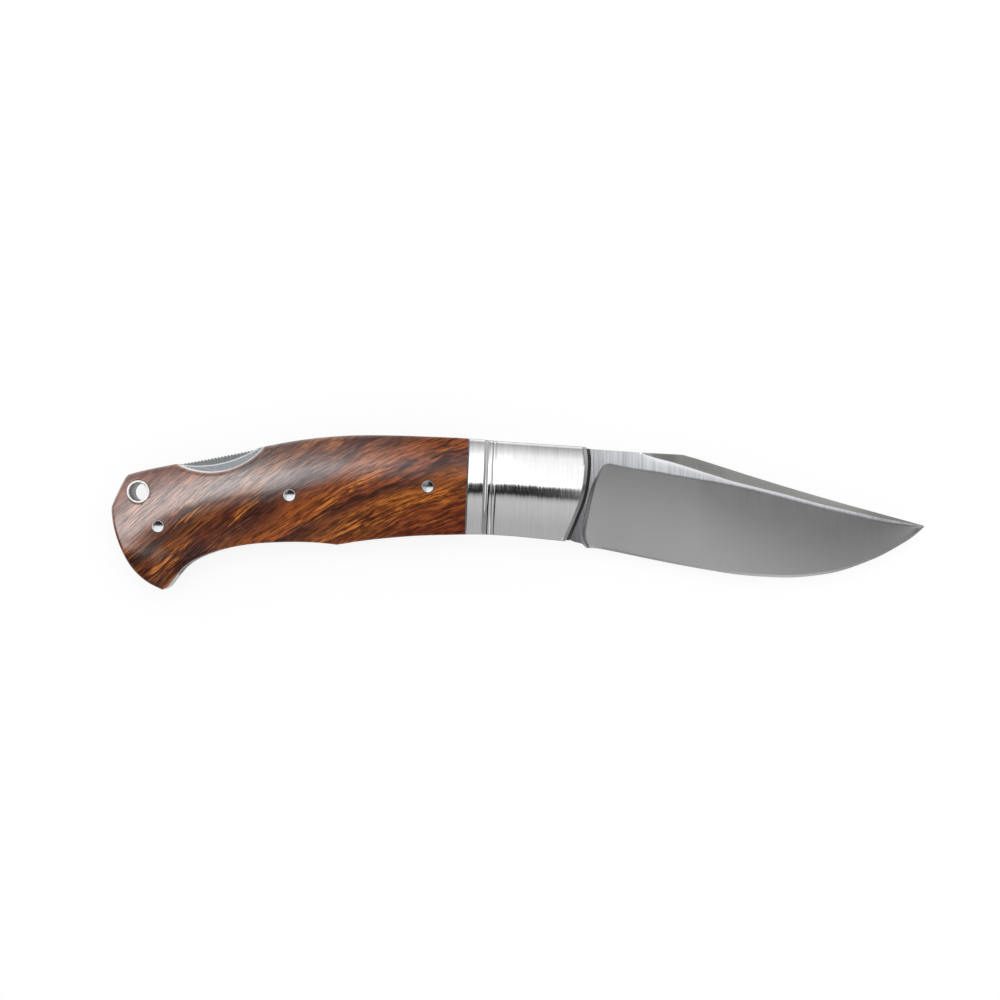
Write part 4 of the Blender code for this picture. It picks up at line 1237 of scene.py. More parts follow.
@dataclass
class Bolsters:
    """The two bolsters, each with a ring between two grooves, and a chamfer and a foot at the nose, dark with
    painted shadow.
    """

    handle: Handle
    ease: float = 0.00008
    band: float = 0.0038
    rear_groove: float = 0.0011
    bead: float = 0.0012
    front_groove: float = 0.0004
    groove_depth: float = 0.0004
    cove_power: float = 1.25
    bead_power: float = 2.4
    bead_root: float = 0.15
    nick: float = 0.3
    nick_wall: float = 0.00002
    lip: float = 0.00014
    chamfer: float = 0.0008
    brink: float = 0.00003
    foot: float = 0.0009
    foot_rise: float = 0.0003
    edge: float = 0.00022
    round_steps: int = 7
    face_rows: int = 44

    @property
    def ring_end(self) -> float:
        """How far ahead of the joint the front groove ends."""
        return self.band + self.rear_groove + self.bead + self.front_groove

    def lines(self) -> np.ndarray:
        """Lines across a bolster.

        The rear groove is a cove, sunk = d(1 - |2s - 1|^p) with s from 0 to 1, that meets the bead part of
        the way up. The bead stands between the grooves, sunk = g(1 - sqrt(1 - |u|^q)) with u from -1 to 1,
        where g is the depth at which it starts in the cove or ends in the nick. The front groove is that
        narrow nick, whose outer wall rounds over into the face.

        Returns:
            Rows of distance ahead of the joint, share of the way on to the nose, depth under the face.
        """
        def flat(ahead: np.ndarray, sunk: np.ndarray | float) -> np.ndarray:
            """Rows that follow the joint: distance ahead of it, no share, depth."""
            return np.column_stack((ahead, 0 * ahead, sunk + 0 * ahead))

        ring_end, depth, lip = self.ring_end, self.groove_depth, self.lip
        s = np.linspace(0, 1, 15)[:-1]
        wall = np.where(s < 0.5, 1, 1 - self.bead_root) * np.abs(2 * s - 1) ** self.cove_power
        u = np.sin(np.linspace(-RIGHT_ANGLE, RIGHT_ANGLE, 17))
        drop = depth * np.where(u < 0, self.bead_root, self.nick)
        start = self.band + self.rear_groove
        floor = depth * self.nick
        turn = np.linspace(0, RIGHT_ANGLE, 6)[::-1]
        table = np.vstack((
            flat(np.zeros(1), self.ease),
            flat(np.linspace(self.ease, self.band - lip, 12)[:-1], 0.0),
            flat(self.band + self.rear_groove * s, depth * (1 - wall)),
            flat(start + self.bead * (u + 1) / 2, drop * (1 - np.sqrt(1 - np.abs(u) ** self.bead_power))),
            flat(ring_end - np.array((self.front_groove * 0.5, self.nick_wall)), floor),
            flat(ring_end + lip - lip * np.sin(turn), floor * (1 - np.cos(turn))),
        ))
        share = np.linspace(0, 1, 50)[1:]
        face = np.column_stack((ring_end + lip + share * (-self.chamfer - lip), share, 0 * share))
        step = self.chamfer * 0.45
        nose = np.array((
            (ring_end - self.chamfer * 0.9, 1, self.brink), (ring_end, 1, step),
            (ring_end + self.foot, 1, step),
        ))
        table = np.vstack((table, face, nose))
        table[:, 0] += self.handle.fit / 2 * (1 - table[:, 1]) * (table[:, 0] < self.band * 0.5)
        return table

    def build(self, side: Side) -> bpy.types.Object:
        """Build one bolster: a closed ring of points for each line across it, over its crown and back.

        A line's place at height y is joint(y) + step + share (nose(y) - joint(y) - ring), so the rings
        lean with the joint and the last lines follow the curved nose. The edge is a quarter round, as on
        the scales. The last strip of faces is the foot, whose near-black material is painted shadow.

        Args:
            side: Its side.

        Returns:
            The bolster.
        """
        h = self.handle
        step, share, sunk = (column[:, None] for column in self.lines().T)

        def line_at(up: np.ndarray) -> np.ndarray:
            """Place of each line at a height."""
            nose = height_on(h.nose_line[:, ::-1], up) - h.joint_at(up, self.ring_end)
            return h.joint_at(up, step) + nose * share

        low, high = np.full_like(step, -h.span / 2), np.full_like(step, h.span / 2)
        for _ in range(8):
            low = height_on(h.belly, line_at(low)) + sunk
            high = height_on(h.back, line_at(high)) - sunk
        e = self.edge
        angle = np.linspace(0, RIGHT_ANGLE, self.round_steps + 1)[None, :]
        inset, drop = e * (1 - np.cos(angle)), e * (1 - np.sin(angle))
        across = np.linspace(0, 1, self.face_rows + 2)[None, 1:-1]
        middle = low + e + (high - low - 2 * e) * across
        up = np.hstack((low, low + inset, middle, high - inset[:, ::-1], high))
        none = np.zeros((1, 1))
        fall = np.hstack((none, drop, 0 * across, drop[:, ::-1], none))
        place = np.stack((line_at(up), np.clip(up, low + e, high - e)), axis=-1)
        height = h.crown_height(place) - sunk - fall
        height[-1] = np.minimum(height[-1], h.cover_inner + self.foot_rise)
        height[:, 0] = height[:, -1] = h.cover_inner
        grid = np.stack((line_at(up), up, height * side.value), axis=-1)
        rows, columns = grid.shape[:2]
        number = np.arange(rows * columns).reshape(rows, columns)
        faces = grid_quads(rows, columns).tolist()
        faces += [number[0].tolist(), number[-1].tolist()]
        faces += np.stack((number[:-1, -1], number[:-1, 0], number[1:, 0], number[1:, -1]), axis=1).tolist()
        zones = np.zeros(len(faces), dtype=np.int32)
        # the foot's strip of faces takes the second material, painted shadow
        zones[(rows - 2) * (columns - 1): (rows - 1) * (columns - 1)] = 1
        return make_piece(f"bolster_cover_{side.word}", grid.reshape(-1, 3), faces, zones, sharp=20)

    def dress(self) -> list[bpy.types.Object]:
        """Build both bolsters and give them satin steel, brushed across the handle, with painted shade
        on its edges and grooves and a foot of painted shadow.

        Returns:
            The bolsters.
        """
        # Painted shade: the dark edge colour and the hollow colour darken the bolsters' rounded edges and
        # grooves.
        satin = SteelFinish(
            "bolster_satin", (0.60, 0.60, 0.605), (0.665, 0.665, 0.665), 0.045, 0.07, 0.0000012, wear_and_shade_amount=0.3,
            wear_and_shade_colour=(0.45, 0.45, 0.45), hollow=0.2, tilt=0.042,
        ).material()
        # Painted shadow: the foot's near-black steel stands for the dark gap between the bolster's nose and the
        # blade.
        foot = SteelFinish(
            "nose_painted_shadow", (0.03, 0.03, 0.032), (0.06, 0.06, 0.062), 0.45, 0.60, 0.000003, wear_and_shade_amount=0.1
        ).material()
        pieces = []
        for side in Side:
            piece = cover(self.build(side), satin, foot)
            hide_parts(f"bolster_{side.word}")
            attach(piece, "handle")
            pieces.append(piece)
        return pieces


@dataclass
class Frame:
    """The two liners and the rear spacer between them."""

    handle: Handle
    bevel: float = 0.00008
    rim: float = 0.00015
    cut_shine: float = 0.0007
    scoop_shine: float = 0.0008

    def painted_highlight_arcs(self) -> tuple[Arc, ...]:
        """Set the painted highlights along the liner's own thumb cut and along the scale's scoop.

        Returns:
            The two lines.
        """
        lines = []
        for cut, width in ((self.handle.liner_cut, self.cut_shine), (self.handle.scoop, self.scoop_shine)):
            centre = self.handle.cut_centre(cut)
            lines.append(Arc((float(centre[0]), float(centre[1]) - PIVOT_DROP), cut.radius, width))
        return tuple(lines)

    def liner_outline(self) -> np.ndarray:
        """Join the whole handle's outline with the thumb cut, anticlockwise from the nose's top.

        Returns:
            Its points.
        """
        h = self.handle
        back = h.cut_back(np.linspace(h.nose_line[0, 0], h.pommel[0, 0], 700), h.liner_cut)
        belly = h.belly[h.belly[:, 0] < h.nose_line[-1, 0]]
        return np.vstack((back[1:], h.pommel[1:], belly[1:], h.nose_line[::-1]))

    def spacer_outline(self) -> np.ndarray:
        """Join the outline of the pommel behind the circle that the blade's tip swings on.

        Returns:
            Its points.
        """
        h = self.handle
        radius = -h.spring_root
        back, belly = (line[np.linalg.norm(line, axis=1) > radius] for line in (h.back, h.rear_belly))
        top = math.atan2(back[-1, 1], back[-1, 0])
        low = math.atan2(belly[-1, 1], belly[-1, 0]) % (2 * math.pi)
        angle = np.linspace(low, top, 40)
        front = np.column_stack((np.cos(angle), np.sin(angle))) * radius
        return np.vstack((back[::-1], h.pommel[1:], belly[1:], front[1:-1]))

    def plate(self, name: str, outline: np.ndarray, low: float, high: float) -> bpy.types.Object:
        """Build one drilled plate.

        Args:
            name: Its name.
            outline: Its outline's points.
            low: Height of its lower face over the middle plane.
            high: Height of its upper face.

        Returns:
            The plate.
        """
        piece = slab(name, outline, low, high, self.bevel, self.rim)
        return drilled(piece, self.handle.tube, self.handle.tube_hole)

    def dress(self) -> list[bpy.types.Object]:
        """Build the liners and the spacer and give them satin steel.

        Returns:
            The three plates.
        """
        h = self.handle
        steel = SteelFinish(
            "liner_satin", (0.27, 0.285, 0.31), (0.35, 0.365, 0.39), 0.26, 0.36, 0.000002, fineness=0.8,
            length=0.6, wear_and_shade_amount=0.5, wear_and_shade_colour=(0.70, 0.70, 0.69), hollow=0.0, arcs=self.painted_highlight_arcs(),
        ).material()
        pieces = []
        for side in Side:
            low, high = sorted((side.value * h.liner_inner, side.value * h.liner_outer))
            piece = cover(self.plate(f"liner_plate_{side.word}", self.liner_outline(), low, high), steel)
            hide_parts(f"liner_{side.word}")
            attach(piece, "handle")
            pieces.append(piece)
        low, high = -h.stock_half, h.stock_half
        spacer = cover(self.plate("rear_spacer_plate", self.spacer_outline(), low, high), steel)
        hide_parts("rear_spacer")
        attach(spacer, "handle")
        return [*pieces, spacer]


@dataclass
class LockWork:
    """The rocking lock bar with its jimped thumb rest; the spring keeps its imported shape."""

    handle: Handle
    inset: float = 0.0002
    height: float = 0.0046
    boss: float = 0.0010
    boss_run: float = 0.0060
    hook: float = 0.0037
    hook_bottom: float = 0.0090
    end_gap: float = 0.00068
    pitch: float = 0.0008
    tooth: float = 0.00035
    teeth: int = 23
    tooth_steps: int = 16
    phase: float = 0.6
    steepness: float = 1.1
    first_share: float = -0.845
    rocker_share: float = -0.443
    bevel: float = 0.00006

    def top(self, along: np.ndarray | float) -> np.ndarray:
        """Height of the bar's top, just under the handle's back line."""
        return height_on(self.handle.back, along) - self.inset

    def bottom(self, along: np.ndarray) -> np.ndarray:
        """Height of the bar's underside: a raised cosine deepens it round the pin."""
        away = np.minimum(np.abs(along - self.rocker_share * self.handle.reach) / self.boss_run, 1)
        return self.top(along) - self.height - self.boss * (0.5 + 0.5 * np.cos(math.pi * away))

    def outline(self) -> np.ndarray:
        """Join the bar's outline, from its rear end over the teeth to the hook and back.

        The teeth are a wave: their cut is tooth times a smooth step of the sine of the way along.

        Returns:
            Its points.
        """
        h = self.handle
        front, rear = -h.lock_face - h.fit, h.spring_root + self.end_gap
        hook = front - self.hook
        start = self.first_share * h.reach
        end = start + self.teeth * self.pitch
        along = np.unique(np.concatenate((
            np.linspace(rear, start, 20), np.linspace(start, end, self.teeth * self.tooth_steps + 1),
            np.linspace(end, front, 160),
        )))
        wave = np.sin(2 * math.pi * (along - start) / self.pitch - self.phase)
        cut = self.tooth * smooth_step(0.5 - wave * self.steepness)
        sunk = np.where((along > start) & (along < end), cut, 0)
        under = np.array(((front - h.undercut, self.hook_bottom), (hook + h.undercut, self.hook_bottom)))
        back = np.linspace(hook, rear, 120)
        return np.vstack((
            np.column_stack((along, self.top(along) - sunk)), under,
            np.column_stack((back, self.bottom(back))),
        ))

    def dress(self) -> list[bpy.types.Object]:
        """Build the bar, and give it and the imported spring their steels.

        Returns:
            The bar.
        """
        # Painted shade: the bar's dark colour stands for the shade of its recess under the thumb cut.
        steel = SteelFinish(
            "lock_steel_painted_shade", (0.17, 0.175, 0.18), (0.24, 0.245, 0.25), 0.28, 0.38, 0.000002, fineness=0.7,
            wear_and_shade_amount=0.0, hollow=0.0,
        ).material()
        half = self.handle.stock_half
        bar = cover(slab("lock_rocker", self.outline(), -half, half, self.bevel), steel)
        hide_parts("lock_bar")
        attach(bar, "lock_bar")
        recover(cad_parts["back_spring"], SteelFinish(
            "spring_temper", (0.20, 0.21, 0.24), (0.36, 0.37, 0.40), 0.25, 0.38, 0.000003
        ).material())
        return [bar]


class Ground(Enum):
    """The blade's ground faces, as the numbers of their materials."""

    FLAT = 0
    BEVEL = 1
    FALSE_EDGE = 2
    CUTTING = 3


@dataclass(frozen=True)
class CrossLines:
    """Places of the points on one side of the blade, and the heights of its ground lines there.

    Each array has a row for each line across the blade and a column for each step down it.
    """

    x: np.ndarray
    up: np.ndarray
    top: np.ndarray
    flat_top: np.ndarray
    grind: np.ndarray
    shoulder: np.ndarray
    turn: np.ndarray


@dataclass
class Blade:
    """The clip-point blade: brushed flats, a long false edge, a curved plunge and a flat-ground bevel."""

    handle: Handle
    reach: float = 0.0904
    span: float = 0.0311
    past_tip: float = 1.001
    spine_half: float = 0.0007
    shoulder: float = 0.0003
    shoulder_share: float = 0.6
    hollow_share: float = 0.3
    edge_half: float = 0.00006
    edge_bevel: float = 0.0006
    edge_bevel_share: float = 0.4
    grind_round: float = 0.0005
    round_share: float = 0.3
    false_round: float = 0.00015
    false_run: float = 0.004
    top_strip: float = 0.0004
    least_step: float = 0.00002
    plunge_run: float = 0.0011
    plunge_middle: float = 0.0105
    sway_in: float = 0.0095
    sway_out: float = 0.0175
    sway_end: float = 0.030
    tip_share: float = 0.30
    taper_share: float = 0.40
    tang_radius: float = 0.0085
    tang_bevel: float = 0.00005
    root: float = 0.0022
    stretches: tuple[tuple[float, int], ...] = ((0.0085, 16), (0.0135, 80), (0.0225, 40))
    spine: np.ndarray = field(init=False)
    swedge: np.ndarray = field(init=False)
    grind: np.ndarray = field(init=False)
    plunge: np.ndarray = field(init=False)
    belly: np.ndarray = field(init=False)
    edge: np.ndarray = field(init=False)
    steps: np.ndarray = field(init=False)

    def __post_init__(self) -> None:
        """Work out the ground lines, and the steps down each line across.

        A step's whole part says where it is: 0 to 1 runs from the spine down the false edge, 1 to 2 down
        the flat, 2 to 3 round the grind line, 3 to 4 down the main bevel; 5 is the cutting edge.
        """
        unit = np.array((self.reach, self.span))
        self.spine, self.belly = SPINE_SHARES * unit, TANG_BELLY_SHARES * unit
        self.swedge, self.grind, self.plunge = (
            hermite(shares * unit) for shares in (SWEDGE_SHARES, GRIND_SHARES, PLUNGE_SHARES)
        )
        self.edge = np.vstack((self.belly, hermite(EDGE_SHARES * unit)))
        self.steps = np.concatenate((
            (0, 0.4, 0.7, 0.84, 0.92, 0.97, 1, 1.03, 1.07, 1.13, 1.25, 1.42, 1.62, 1.82, 1.93, 2),
            2 + np.linspace(0, 1, 7)[1:], 3 + np.linspace(0, 1, 36)[1:], [5.0],
        ))

    def full(self, along: np.ndarray) -> np.ndarray:
        """Thin the flats in a straight line towards the tip.

        Args:
            along: Places along the blade.

        Returns:
            Half the thickness at each.
        """
        start = self.taper_share * self.reach
        share = np.clip((along - start) / (self.reach - start), 0, 1)
        return self.handle.stock_half * (1 - (1 - self.tip_share) * share)

    def past_plunge(self, x: np.ndarray, up: np.ndarray) -> np.ndarray:
        """How far places lie ahead of the plunge line at their own height."""
        return x - height_on(self.plunge[:, ::-1], up)

    def cross_lines(self) -> CrossLines:
        """Lay the lines across the blade, coming nearer to its ground lines twelve times.

        A line's place is s + w(s)(plunge(y) - m): near the plunge the lines follow its curve, and away
        from it they stand upright.

        Returns:
            The lines' points on one side.
        """
        start, rows = self.root, []
        for end, count in (*self.stretches, (self.past_tip * self.reach, 300)):
            rows.append(np.linspace(start, end, count))
            start = end
        nominal = np.unique(np.concatenate((*rows, [self.plunge_middle])))[:, None]
        weight = smooth_step((nominal - self.root) / (self.sway_in - self.root))
        weight = weight * smooth_step((self.sway_end - nominal) / self.sway_out)
        kinds, least = self.steps[None, :], self.least_step

        def at(up: np.ndarray) -> np.ndarray:
            """Place of each line at a height."""
            return nominal + weight * (height_on(self.plunge[:, ::-1], up) - self.plunge_middle)

        up = np.zeros((len(nominal), kinds.shape[1]))
        for _ in range(12):
            x = at(up)
            top, bottom = height_on(self.spine, x), height_on(self.edge, x)
            flat_top = np.minimum(height_on(self.swedge, x), top - least)
            flat_top = np.where(x < self.swedge[0, 0], top - self.top_strip, flat_top)
            grind = np.minimum(height_on(self.grind, x), flat_top - least)
            shoulder = bottom + np.minimum(self.edge_bevel, (grind - bottom) * self.edge_bevel_share)
            turn = np.minimum(self.grind_round, (grind - shoulder) * self.round_share)
            up = np.select((kinds <= 1, kinds <= 2, kinds <= 3, kinds <= 4, kinds > 4), (
                top + (flat_top - top) * kinds, flat_top + (grind - flat_top) * (kinds - 1),
                grind - turn * (kinds - 2), grind - turn + (shoulder - grind + turn) * (kinds - 3), bottom,
            ))
        return CrossLines(at(up), up, top, flat_top, grind, shoulder, turn)

    def thickness(self, lines: CrossLines) -> np.ndarray:
        """Grind the blade to its half thickness.

        The bevel's depth is its share of the way down, times a smooth step away from the plunge. Down from
        the grind line it turns in over a short round: it grows with s^2 / 2r at first and with s - r / 2
        beyond. The false edge meets the flat in a hyperbola, (s + sqrt(s^2 + r^2)) / 2.

        Args:
            lines: The lines across the blade.

        Returns:
            Half the thickness at each point.
        """
        x, up, turn, kinds = lines.x, lines.up, lines.turn, self.steps[None, :]
        full = self.full(x)
        thin = np.minimum(self.shoulder, full * self.shoulder_share)
        down = np.maximum(lines.grind - up, 0)
        whole = np.maximum(lines.grind - lines.shoulder, MERGE_DISTANCE)
        share = np.where(down < turn, down**2 / (2 * turn), down - turn / 2) / (whole - turn / 2)
        share = np.clip(share, 0, 1)
        share = share * (1 - self.hollow_share + self.hollow_share * share)
        depth = np.where(kinds <= 2, 0, (full - thin) * share)
        depth = np.where(kinds > 4, full - self.edge_half, depth)
        depth = depth * smooth_step(self.past_plunge(x, up) / self.plunge_run)
        rise, start = up - lines.flat_top, self.swedge[0, 0]
        slope = full - np.minimum(self.spine_half, full)
        slope = slope / np.maximum(lines.top - lines.flat_top, self.shoulder)
        soft = self.false_round * np.clip((x - start) / self.false_run, 0, 1)
        false_depth = slope * (rise + np.sqrt(rise**2 + soft**2)) / 2 * (x > start)
        return full - depth - false_depth

    def zones(self, lines: CrossLines) -> np.ndarray:
        """Say which ground face each quad of the blade's rings is on.

        Args:
            lines: The lines across the blade.

        Returns:
            A material number for each quad, one row for each two neighbouring lines.
        """
        kind = (self.steps[:-1] + self.steps[1:])[None, :] / 2
        past = self.past_plunge(lines.x, lines.up)[:-1] > -MERGE_DISTANCE
        half = np.where(kind > 4, Ground.CUTTING.value, np.where(kind > 3, Ground.BEVEL.value, 0))
        half = np.where(past[:, :-1] & past[:, 1:], half, Ground.FLAT.value)
        ahead = lines.x[:-1, :1] > self.swedge[0, 0] - TINY
        half = np.where((kind < 1) & ahead, Ground.FALSE_EDGE.value, half)
        edge, spine = (np.full((len(half), 1), face.value) for face in (Ground.CUTTING, Ground.FLAT))
        return np.hstack((half, edge, half[:, ::-1], spine))

    def build(self) -> bpy.types.Object:
        """Build the blade ahead of the tang as closed rings of points, one for each line across it.

        Returns:
            The blade's body.
        """
        lines = self.cross_lines()
        grid = np.stack((lines.x, lines.up, self.thickness(lines)), axis=-1)
        rings = np.concatenate((grid, grid[:, ::-1] * np.array((1.0, 1.0, -1.0))), axis=1)
        rows, columns = rings.shape[:2]
        number = np.arange(rows * columns).reshape(rows, columns)
        faces = grid_quads(rows, columns, ring=True).tolist() + [number[0].tolist(), number[-1].tolist()]
        zones = np.concatenate((self.zones(lines).reshape(-1), [Ground.FLAT.value] * 2))
        return make_piece("blade_body", rings.reshape(-1, 3), faces, zones, sharp=12)

    def tang(self) -> bpy.types.Object:
        """Build the tang as a plate: spine, lock face, arc round the pivot and the kick's start.

        Returns:
            The tang.
        """
        face, half = self.handle.lock_face, self.handle.stock_half
        start = math.acos((-face - self.handle.undercut) / self.tang_radius)
        low = float(height_on(self.belly, self.root))
        angle = np.linspace(start, 2 * math.pi + math.atan2(low, self.root), 90)
        arc = np.column_stack((np.cos(angle), np.sin(angle))) * self.tang_radius
        top = np.array(((self.root, float(height_on(self.spine, self.root))), (-face, self.spine[0, 1])))
        outline = np.vstack((top, arc, [(self.root, low)]))
        return slab("blade_tang", outline, -half, half, self.tang_bevel)

    def dress(self) -> list[bpy.types.Object]:
        """Build the blade and give each ground face its finish.

        Returns:
            The body and the tang.
        """
        finishes = {
            Ground.FLAT: SteelFinish(
                "blade_flats", (0.57, 0.58, 0.605), (0.64, 0.65, 0.675), 0.06, 0.09, 0.0000008,
                fineness=0.9, wear_and_shade_amount=0.2, hollow=0.0, tilt=0.022,
            ),
            Ground.BEVEL: SteelFinish(
                "blade_bevel", (0.445, 0.445, 0.445), (0.465, 0.465, 0.462), 0.13, 0.17, 0.0000001,
                fineness=1.6, wear_and_shade_amount=0.1, wear_and_shade_colour=(0.70, 0.70, 0.70), hollow=0.0,
            ),
            Ground.FALSE_EDGE: SteelFinish(
                "blade_false_edge", (0.295, 0.295, 0.285), (0.325, 0.325, 0.315), 0.26, 0.34, 0.0000004,
                fineness=1.3, wear_and_shade_amount=0.1, hollow=0.0,
            ),
            Ground.CUTTING: SteelFinish(
                "blade_cutting_edge", (0.60, 0.60, 0.61), (0.74, 0.74, 0.74), 0.26, 0.32, 0.0, wear_and_shade_amount=0.0,
                hollow=0.0,
            ),
        }
        steels = [finish.material() for finish in finishes.values()]
        pieces = [cover(self.build(), *steels), cover(self.tang(), steels[Ground.FLAT.value])]
        for piece in pieces:
            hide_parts("blade")
            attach(piece, "blade")
        return pieces


@dataclass
class Pins:
    """Dished scale pins and the lanyard tube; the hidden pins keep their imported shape."""

    handle: Handle
    radius: float = 0.0016
    rim_drop: float = 0.0002
    rise: float = 0.00044
    lip: float = 0.00022
    dish: float = 0.00008
    dish_edge: float = 0.9
    front_share: float = -0.278
    middle_share: float = -0.592
    rear: float = -0.093905
    leans: tuple[float, float, float] = (0.0, 0.025, 0.030)
    tube_outer: float = 0.0028
    tube_bore: float = 0.00215
    tube_rise: float = 0.00003
    tube_power: float = 0.7
    head_margin: float = 0.00001
    bore_margin: float = 0.00006

    def pin(self, name: str, centre: np.ndarray, side: Side, inner: float, lean: float) -> bpy.types.Object:
        """Turn one pin whose head stands a little proud, rounds over at the rim and is dished by peening.

        From the top of the rim inwards, height = top - dish (1 - (r / R)^2), less lean times the distance
        towards the knife's back.

        Args:
            name: The object's name.
            centre: Its axis, from the pivot.
            side: Which side its head is on.
            inner: Height of its inner end over the middle plane.
            lean: Slope of its head.

        Returns:
            The pin.
        """
        rim = HALF_THICKNESS - self.rim_drop
        turn = np.linspace(0, RIGHT_ANGLE, 10)
        inside = self.radius - self.lip
        edge = np.column_stack((inside + self.lip * np.cos(turn), rim + self.rise * np.sin(turn)))
        share = np.linspace(self.dish_edge, 0, 12)
        dish = np.column_stack((inside * share, rim + self.rise - self.dish * (1 - share**2)))
        profile = np.vstack(((0, inner), (self.radius, inner), edge, dish))
        profile[:, 1] *= side.value
        piece = turned(name, profile, centre, 64)
        points = read_points(piece)
        middle = placed(np.array((*centre, 0.0)))
        head = (points[:, 2] - middle[2]) * side.value > rim - self.head_margin
        points[:, 2] -= np.where(head, side.value * lean * (points[:, 1] - middle[1]), 0)
        piece.data.vertices.foreach_set("co", points.ravel())
        return piece

    def tube(self) -> bpy.types.Object:
        """Turn the lanyard tube: a wall whose two ends are rolled into a round rim.

        Returns:
            The tube, with its bore marked as its second zone, which takes painted shade.
        """
        h = self.handle
        top = float(h.crown_height(h.tube[None])[0]) + self.tube_rise
        wall = (self.tube_outer - self.tube_bore) / 2
        turn = np.linspace(0, math.pi, 13)
        end = np.column_stack((
            self.tube_bore + wall + wall * np.cos(turn),
            top - wall * 0.5 + wall * 0.5 * np.sin(turn) ** self.tube_power,
        ))
        profile = np.vstack((end, end[::-1] * np.array((1.0, -1.0)), end[:1]))
        eyelet = turned("lanyard_eyelet", profile, h.tube)
        away = np.linalg.norm((read_points(eyelet) - placed(np.array((*h.tube, 0.0))))[:, :2], axis=1)
        corners = np.empty(len(eyelet.data.loops), dtype=np.int32)
        eyelet.data.loops.foreach_get("vertex_index", corners)
        inside = away[corners.reshape(-1, 4)].mean(axis=1) < self.tube_bore + self.bore_margin
        eyelet.data.polygons.foreach_set("material_index", inside.astype(np.int32))
        return eyelet

    def dress(self) -> list[bpy.types.Object]:
        """Build the pins and the tube and polish them, and give the hidden pins the same steel.

        Returns:
            The pins and the tube.
        """
        h = self.handle
        bright = SteelFinish(
            "pin_polish", (0.33, 0.335, 0.35), (0.38, 0.385, 0.395), 0.09, 0.13, 0.0000003, fineness=0.6,
            wear_and_shade_amount=0.0, hollow=0.0,
        ).material()
        silver = SteelFinish(
            "tube_silver", (0.84, 0.83, 0.81), (0.94, 0.93, 0.91), 0.38, 0.46, 0.0000006, fineness=0.6,
            wear_and_shade_amount=0.0, hollow=0.0,
        ).material()
        # Painted shade: the bore's dark steel stands for the shade inside the tube.
        bore = SteelFinish(
            "tube_bore_painted_shade", (0.10, 0.095, 0.09), (0.22, 0.21, 0.20), 0.35, 0.50, 0.000003, fineness=0.5,
            wear_and_shade_amount=0.0, hollow=0.0,
        ).material()
        rows = (
            ("front", self.front_share * h.reach, h.liner_inner),
            ("middle", self.middle_share * h.reach, h.liner_inner),
            ("rear", self.rear, 0.0),
        )
        pieces = []
        for (word, along, inner), slope in zip(rows, self.leans):
            for side in Side:
                lean = slope if side is Side.RIGHT else 0.0
                piece = self.pin(f"pin_{word}_{side.word}", h.on_crown(along), side, inner, lean)
                if word == "rear":
                    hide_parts("scale_pin_rear")
                else:
                    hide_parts(f"scale_pin_{word}_{side.word}")
                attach(piece, "handle")
                pieces.append(cover(piece, bright))
        eyelet = cover(self.tube(), silver, bore)
        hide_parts("lanyard_tube")
        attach(eyelet, "handle")
        for node in ("pivot_pin", "rocker_pin", "bolster_rivet_left", "bolster_rivet_right"):
            recover(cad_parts[node], bright)
        return [*pieces, eyelet]


